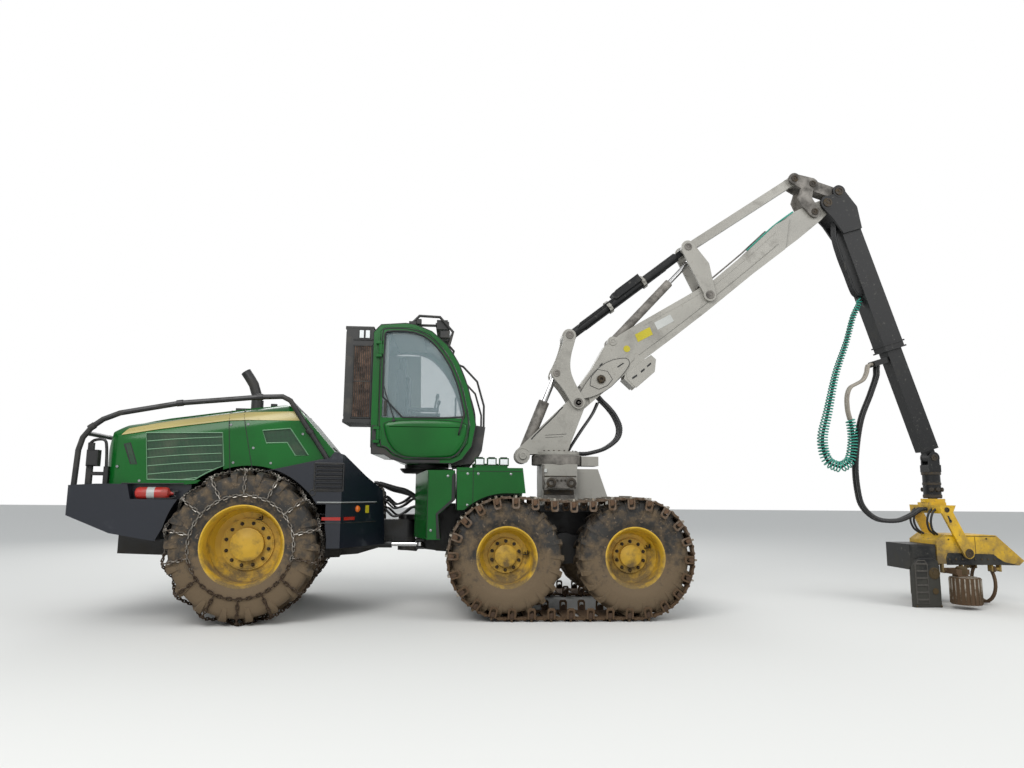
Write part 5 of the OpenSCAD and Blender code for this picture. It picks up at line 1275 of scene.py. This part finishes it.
# Slots as thin dark plates: painted shade in place of their depth
slots = [plate(at, -150.5, -146, 0.5) for at in ([(800, 3160), (812, 3146), (898, 3206), (886, 3220)],
                                                 [(560, 3176), (572, 3164), (606, 3196), (594, 3208)])]
slots += [plate([(a, b - 12), (c, d - 12), (c - 8, d + 12), (a - 8, b + 12)], -138.5, -135, 0.5)
          for a, b, c, d in ((1015, 3005, 1084, 3050), (1137, 3095, 1189, 3138), (1224, 3173, 1280, 3220))]
piece("boom_nut", on_both([washer, nut]), dark_steel, "main_boom")
piece("boom_slots", on_both(slots), seal_rubber_and_shade, "main_boom")
signs = [plate([(1058, 3617), (1268, 3730), (1310, 3625), (1100, 3512)], -133.5, -129, 0.5),
         turned([(0, 0), (46, 0), (46, 3), (0, 3.5)], 32, (943, BOOM_Y, 3415))]
piece("boom_signs", on_both(signs), yellow_plate, "main_boom")
# Such a plate in white, dulled by dust
white_sign = weathered("white_plate", "#b9bab6", "#8c887e", gloss=0.3, dirt_share=0.15, bump=0.02)
piece("boom_white_sign",
      on_both([plate([(1330, 3790), (1560, 3914), (1610, 3820), (1380, 3690)], -133.5, -129, 0.5)]),
      white_sign, "main_boom")
# Tie cylinder: pale clamps, its eye, two pressure pipes, and the guard box's side and lid
tie = PLATE_TOP - ROCKER_TOP
tie_dir = tie / np.linalg.norm(tie)
tie_up = np.array([-tie_dir[1], tie_dir[0]])
along_tie = lambda s, h: ROCKER_TOP + s * tie_dir + h * tie_up
beside_tie = lambda s, h, y: np.insert(along_tie(s, h), 1, y)
rocker_top = (ROCKER_TOP[0], 0, ROCKER_TOP[1])
clamps = [sleeve(78, 92, s - 6, s + 46, 40, rocker_top, (tie_dir[0], 0, tie_dir[1])) for s in (708, 1318)]
clamps += [block(beside_tie(s, 0, -112) - (22, 0, 20), beside_tie(s, 0, -82) + (22, 0, 22), 5)
           for s in (728, 1338)]
clamps.append(turned([(88, -148), (96, -140), (96, 140), (88, 148), (58, 148), (58, -148)], 40, rocker_top))
piece("tie_clamps", at_front(clamps), crane_grey, "tie_tube")
pipes = [tube([beside_tie(190, 30, -78), beside_tie(240, 55, -86), beside_tie(820, 55, -86)], 10, 8),
         tube([beside_tie(190, -40, -72), beside_tie(260, -66, -60), beside_tie(1700, -66, -60)], 9, 8),
         plate([along_tie(864, 22), along_tie(1326, 22), along_tie(1326, 124), along_tie(930, 124)], -101,
               -94, 2),
         plate([along_tie(930, 118), along_tie(1330, 118), along_tie(1330, 128), along_tie(930, 128)], -104,
               104, 2)]
piece("tie_pipes", at_front(pipes), arm_dark, "tie_tube")
# Knuckle: the pins of the four-bar link at the boom's end
piece("knuckle_pins", on_both([pin_head(centre, -132, 50) for centre in (SHOE_FOOT, SHOE_HEAD, SHOE_PIN)]),
      dark_steel, "horseshoe_link")
piece("stick_pins", on_both([pin_head(KNUCKLE, -177, 66), pin_head(STICK_PIN, -177, 60)]), dark_steel,
      "stick")

# Base: the faces of the two slew cylinders in their bracket, the plates above and below it, and a collar
bracket = [(-215, 1560), (-190, 1625), (-150, 1655), (130, 1655), (170, 1630), (192, 1575), (186, 1505),
           (-215, 1505)]
faces = [plate(bracket, -476, -464, 4), block((-228, -352, 1300), (178, -328, 1424), 6),
         block((-240, -350, 1500), (-216, -328, 1815), 5)]
collar = turned([(330, 1945), (338, 1940), (338, 1822), (330, 1816)], 64, PILLAR, UP)
dark_faces = [turned([(28, 0), (62, 0), (62, 10), (54, 14), (34, 14), (28, 6)], 32, (x, -474, 1581))
              for x in (-140, 120)]
dark_faces += [block((-222, -345, 1428), (172, -333, 1490), 3),
               block((-228, -342, 1660), (205, -331, 1672), 2)]
dark_faces += [bolts([(x, -474, z) for x, z in ((-60, 1610), (-10, 1610), (40, 1610), (-190, 1525),
                                                (165, 1525))], 14, 12)]
piece("base_bracket", on_both(faces) + at_front([collar]), crane_shadow, "front_frame")
piece("base_cylinders", on_both(dark_faces), dark_steel, "front_frame")
piece("base_sign", at_front([block((-216, -354, 1715), (-180, -330, 1760), 1)]), white_sign, "front_frame")
print("crane")

# %% [markdown]
# ## Hoses
# Every moving joint is crossed by hoses. The ones at the pillar and at the head are in ribbed sleeves, which
# a tube gives whose radius rises and falls along it. A teal spiral guard, wound round the pair that feeds the
# extension, opens where it hangs: a helix of even pitch whose radius changes along the loop.

# %% Hoses
def hanging(name, parts, finish, replaces=()):
    """A piece, in the front frame's millimetres, that hangs between two bodies: it is baked in place and
    rides on neither.
    """
    made = piece(name, at_front(parts), finish, None, replaces)
    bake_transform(made)


def by_length(points, spacing):
    """The smooth run through the points, cut into pieces of one length."""
    p = smooth(points, 16)
    s = np.concatenate([[0], np.cumsum(np.linalg.norm(np.diff(p, axis=0), axis=1))])
    t = np.linspace(0, s[-1], max(3, int(s[-1] / spacing) + 1))
    return np.stack([np.interp(t, s, p[:, k]) for k in range(3)], -1), t


def ribbed(points, radius, depth, pitch, corners=10):
    """A ribbed sleeve: the radius is less by the depth in every second quarter of the pitch."""
    path, t = by_length(points, pitch / 4)
    wave = radius - depth * (np.arange(len(t)) % 4 >= 2)
    wave[[0, -1]] = radius
    return tube(path, wave, corners)


def helix(points, radius_at, pitch, wire, corners=6, per_turn=14):
    """A wire wound round a path: the centre moves by r cos a across it and r sin a over it."""
    path, t = by_length(points, pitch / per_turn)
    ahead = unit(np.gradient(path, axis=0))
    across = unit(np.array([0, 1.0, 0]) - ahead * ahead[:, 1:2])
    over = np.cross(ahead, across)
    a = np.arange(len(t)) * 2 * math.pi / per_turn
    r = np.interp(t / t[-1], radius_at[0], radius_at[1])
    return tube(path + (r * np.cos(a))[:, None] * across + (r * np.sin(a))[:, None] * over, wire, corners)


# Black hose sleeves, satin and wiped by their own rubbing
hose_black = weathered("hose_black", "#131415", "#4c4942", gloss=0.45, dirt_share=0.2, patch_mm=120,
                       bump=0.05)
# Bright teal plastic of the spiral guard, the one clear accent on the crane
teal_guard = weathered("teal_guard", "#2a8f7c", "#3d5a50", gloss=0.3, dirt_share=0.12, patch_mm=120,
                       bump=0.02)
# Hose in a woven textile cover, pale and dusty
beige_hose = weathered("beige_hose", "#8e867a", "#57514a", gloss=0.4, dirt_share=0.25, patch_mm=120,
                       bump=0.03)
PILLAR_R = 300
loop = lambda y: [(math.sqrt(PILLAR_R ** 2 - y * y) - 10, y, 1977), (335, y, 1977), (430, y * 1.35, 1986),
                  (640, y * 1.6, 2050), (810, y * 1.6, 2180), (850, y * 1.6, 2330), (790, y * 1.4, 2490),
                  (700, y * 1.2, 2610), (613, y, 2698), (561, y, 2757)]
hanging("pillar_sleeves", [ribbed(loop(y), 28, 4, 22) for y in (-60, 0, 60)], hose_black,
        ["pillar_hoses"])
slim = [tube(smooth([(140, y, 1996), (200, y, 2100), (330, y * 1.2, 2300), (480, y, 2520), (560, y, 2690)],
                    6), 13, 8) for y in (-84, 84)]
hanging("slim_hoses", slim, hose_black)

DOWN = (np.array([5250, 1980.0]) - (4290, 5030)) / math.hypot(960, 3050)
stick_at = lambda u, w, y: (4290 + u * DOWN[0] - w * DOWN[1], y, 5030 + u * DOWN[1] + w * DOWN[0])
feed = [stick_at(758, -146, 0), stick_at(758, -185, 0), (4360, 0, 4180), (4257, 0, 3975), (4133, 0, 3596),
        (3956, 0, 3146), (3810, 0, 2600), (3720, 0, 2280), (3722, 0, 2060), (3790, 0, 1900), (3953, 0, 1833),
        (4090, 0, 1930), (4147, 0, 2150), (4150, 0, 2330), (4126, 0, 2500)]
bend = [(4126, 0, 2500), (4098, 0, 2640), (4100, 0, 2820), (4150, 0, 2950), (4250, 0, 3010), (4350, 0, 3070),
        (4405, 0, 3170), stick_at(1718, -392, 0), stick_at(1718, -331, 0)]
shifted = lambda points, y: [(a, b + y, c) for a, b, c in points]
# The two legs of the loop meet at its lowest point
LOW = 10
left, right = feed[:LOW + 1], feed[LOW:]
bottom, top, mouth = np.array(feed[LOW]), np.array(feed[0]), np.array(bend[-1])
legs = (("left", left, ([0, 0.25, 0.5, 0.8, 1], [34, 36, 46, 66, 70]), top, 2 * bottom - top),
        ("right", right, ([0, 0.5, 1], [70, 68, 58]), 2 * bottom - mouth, mouth))
for side, run, radii, start, end in legs:
    inner = [tube(by_length(shifted(run, y), 40)[0], 14, 8) for y in (-20, 20)]
    hanging("feed_hoses_" + side, inner, hose_black)
    hanging("spiral_guard_" + side, [helix(run[1:] if side == "left" else run, radii, 42, 9.5)], teal_guard)
hanging("feed_bends", [tube(by_length(shifted(bend, y), 30)[0], 22, 10) for y in (-26, 26)], beige_hose)
to_head = lambda y: [stick_at(1760, -270, y), stick_at(1800, -290, y), (4540, y, 3110), (4440, y, 2860),
                     (4270, y, 2460), (4167, y, 1900), (4180, y, 1480), (4254, y, 1270), (4444, y, 1125),
                     (4700, y, 1110), (4902, y, 1180), (5040, y, 1262), (5085, y, 1275), (5119, y, 1275)]
sleeves = [ribbed(to_head(y), 26, 4, 20) for y in (-42, 42)]
sleeves.append(tube(by_length([(a + 14, b, c + 22) for a, b, c in to_head(0)[1:-2]], 40)[0], 12, 8))
hanging("head_sleeves", sleeves, hose_black)
bundle = [tube(smooth([(4040, y, 5380), (4036, y, 5130), (4100, y, 4860), (4180, y, 4620), (4280, y, 4330),
                       stick_at(740, -150, y)], 6), 15, 8) for y in (-66, -32, 2, 36)]
piece("stick_bundle", at_front(bundle), hose_black, "stick", ["stick_hoses"])
boom_pipes = [tube([(1960, y, 4310), (2193, y, 4470), (2636, y, 4848), (3000, y, 5190)], 11, 8)
              for y in (-50, 10)]
piece("boom_pipes", at_front(boom_pipes), crane_shadow, "main_boom")
teal = smooth([(2700, -96, 4880), (2900, -96, 5070), (3096, -96, 5250), (3250, -96, 5370), (3400, -96, 5480)],
              6)
piece("teal_hose", at_front([tube(teal, 12, 8)]), teal_guard, "main_boom")
# Hoses and cables across the articulation joint
cross = [ribbed([(-2400, y, 1560), (-2351, y, 1553), (-2181, y, 1505 - drop), (-2040, y * 1.05, 1470 - drop),
                 (-1917, y, 1400), (-1850, y, 1340), (-1840, y, 1290)], 24, 3, 20, 8)
         for y, drop in ((-300, 0), (-215, 30), (215, 20), (300, 0))]
hanging("joint_hoses", cross, hose_black)
print("hoses")

# %% [markdown]
# ## In the articulation joint
# Between the two frames lie the pipes that feed the front bogie and the crane: steel pipes and couplings on
# the rear frame, from which flexible hoses cross to the front one.

# %% Joint fittings
pipes, blocks = [], []
for a, y, z0, z1 in ((-2330, -320, 965, 1500), (-2312, -285, 945, 1470), (-2294, -250, 985, 1520),
                     (-2330, 250, 965, 1500), (-2312, 300, 950, 1460)):
    pipes.append(tube(smooth([(a - 90, y, z1), (a - 20, y, z1 - 10), (a, y, z1 - 80), (a, y, z0 + 70),
                              (a - 20, y, z0), (a - 90, y, z0)], 5), 11, 8))
    blocks += [sleeve(0, 20, -26, 26, 6, (a, y, z0 + 160), UP),
               sleeve(0, 18, -20, 20, 6, (a, y, z1 - 160), UP)]
blocks += [block((-2380, -350, 1180), (-2290, -230, 1260), 8),
           block((-2380, 230, 1180), (-2290, 320, 1260), 8),
           block((-2372, -345, 1010), (-2300, -235, 1040), 4)]
piece("joint_pipes", at_front(pipes), crane_shadow, "rear_frame")
piece("joint_blocks", at_front(blocks), dark_steel, "rear_frame")
low_hoses = [tube(smooth([(-2330, y, z), (-2260, y, z), (-2150, y * 1.08, z - 90), (-2040, y * 1.1, z - 60),
                          (-1930, y, z + 20), (-1850, y, z + 20)], 6), r, 8)
             for y, z, r in ((-270, 1230, 15), (-205, 1330, 13), (-150, 1380, 13),
                             (150, 1380, 13), (205, 1330, 13), (270, 1230, 15))]
hanging("joint_hoses_low", low_hoses, hose_black)
print("joint fittings")

# %% [markdown]
# ## Harvesting head
# The head hangs from the rotator. Its cover is yellow above and dark below; a saw box with pressed ribs
# closes its rear; the feed rollers carry bars that bite into the bark.

# %% Head
TILT, ROTATOR_X, SAW_Y = np.array([5480.0, 700.0]), 5250, -340
case = [block((4693, -300, 480), (5060, 300, 811), 26),
        plate([(4693, 0), (5060, 0), (5060, 520), (5040, 600), (4960, 640), (4790, 640), (4712, 600),
               (4693, 520)], SAW_Y, -240, 14)]
piece("saw_case", at_front(case), arm_dark, "head", ["head_works"])
rim = [(4716, 50), (4880, 50), (4880, 560), (4850, 604), (4752, 604), (4716, 560)]
saw = [tube(at_y(rim, SAW_Y - 1), 9, 8, closed=True)]
saw += [block((4722, -350, z), (4874, -338, z + 26), 4) for z in range(90, 560, 92)]
piece("saw_ribs", at_front(saw), crane_shadow, "head", ["head_works"])
motor = [turned([(0, -2), (76, -2), (76, 6), (60, 12), (60, 6), (26, 6), (26, 12), (0, 12)], 40,
                (4975, SAW_Y, 440)), sleeve(0, 40, -2, 9, 32, (4975, SAW_Y, 210)),
         bolts(ring_places(8, 66, (4975, SAW_Y - 6, 440)), 7, 8),
         bolts([(x, SAW_Y - 1, z) for x, z in ((4708, 20), (5044, 20), (5044, 560))], 12, 9)]
piece("saw_motor", at_front(motor), dark_steel, "head", ["head_works"])
skirt = [(5182, 640), (5206, 704), (5844, 686), (5900, 640), (5990, 585), (6180, 546), (5182, 546)]
piece("head_skirt", on_both([plate(skirt, -307, -299, 2), block((5250, -313, 560), (5560, -305, 600), 3)]),
      arm_dark, "head")
seams = [tube(at_y([(5190, 925), (5890, 921)], -301), 4, 6),
         tube(at_y([(5600, 915), (5600, 700)], -301), 3, 6)]
piece("head_seams", on_both(seams), seal_rubber_and_shade, "head")
cover_bolts = [bolts([(x, -306, 620) for x in range(5220, 5860, 90)], 13, 10),
               bolts([(5230, -300, 880), (5400, -300, 880), (5760, -300, 890)], 11, 8)]
piece("head_bolts", on_both(cover_bolts), dark_steel, "head")
pins = [pin_head(TILT, -345, 58), pin_head((5210, 1270), -345, 34)]
marks = [sleeve(0, 20, 0, 2, 24, (5250, -345, 1120)),
         plate([(5206, 1196), (5236, 1188), (5262, 1120), (5232, 1128)], -347, -344, 0.5)]
piece("tilt_pins", on_both(pins), dark_steel, "tilt_frame")
piece("tilt_marks", on_both(marks), seal_rubber_and_shade, "tilt_frame")
rings = [turned([(108, low), (outer, low + 6), (outer, high - 6), (108, high)], 48, (ROTATOR_X, 0, 0), UP)
         for outer, low, high in ((120, 1424, 1476), (118, 1600, 1640), (124, 1740, 1784))]
rings += [turned([(0, 0), (30, 0), (30, 34), (22, 40), (0, 40)], 20,
                 (ROTATOR_X + 104 * math.cos(a), 104 * math.sin(a), 1540), (math.cos(a), math.sin(a), 0))
          for a in (-2.2, -1.57, -0.9, 0.9, 2.2)]
rings += [pin_head((ROTATOR_X, 1980), side * 98, 46, side) for side in (-1, 1)]
piece("rotator_fittings", at_front(rings), dark_steel, "hanger")
# Feed rollers: upright bars round the drum, a cap and a hydraulic motor on top
ROLLER_BARS, ROLLER_X, ROLLER_Y = 20, 5330.0, 430
a = np.linspace(0, 2 * np.pi, ROLLER_BARS, endpoint=False)
spin = np.stack([np.cos(a), -np.sin(a), 0 * a, np.sin(a), np.cos(a), 0 * a, 0 * a, 0 * a, 1 + 0 * a], -1)
bar = block((176, -8, 70), (190, 8, 392), 3)
for side, sign in SIDES.items():
    y = sign * ROLLER_Y
    drum = repeat(bar, spin.reshape(-1, 3, 3), np.tile([ROLLER_X, y, 0], (ROLLER_BARS, 1)))
    cap = turned([(0, 396), (150, 396), (150, 408), (90, 416), (0, 416)], 40, (ROLLER_X, y, 0), UP)
    drive = turned([(0, 440), (70, 440), (70, 520), (50, 540), (0, 540)], 32, (ROLLER_X - 40, y, 0), UP)
    piece("roller_bars_" + side, at_front([drum, cap]), rubbed_steel, "feed_arm_" + side)
    piece("roller_motor_" + side, at_front([drive]), dark_steel, "feed_arm_" + side)
hoses = [tube(smooth([(5150, y, 1290), (5090, y, 1240), (5050, y, 1120), (5080, y * 0.9, 1000),
                      (5160, y * 0.8, 938)], 6), 15, 8) for y in (-230, -150, 150, 230)]
hanging("tilt_hoses", hoses, hose_black)
print("head")
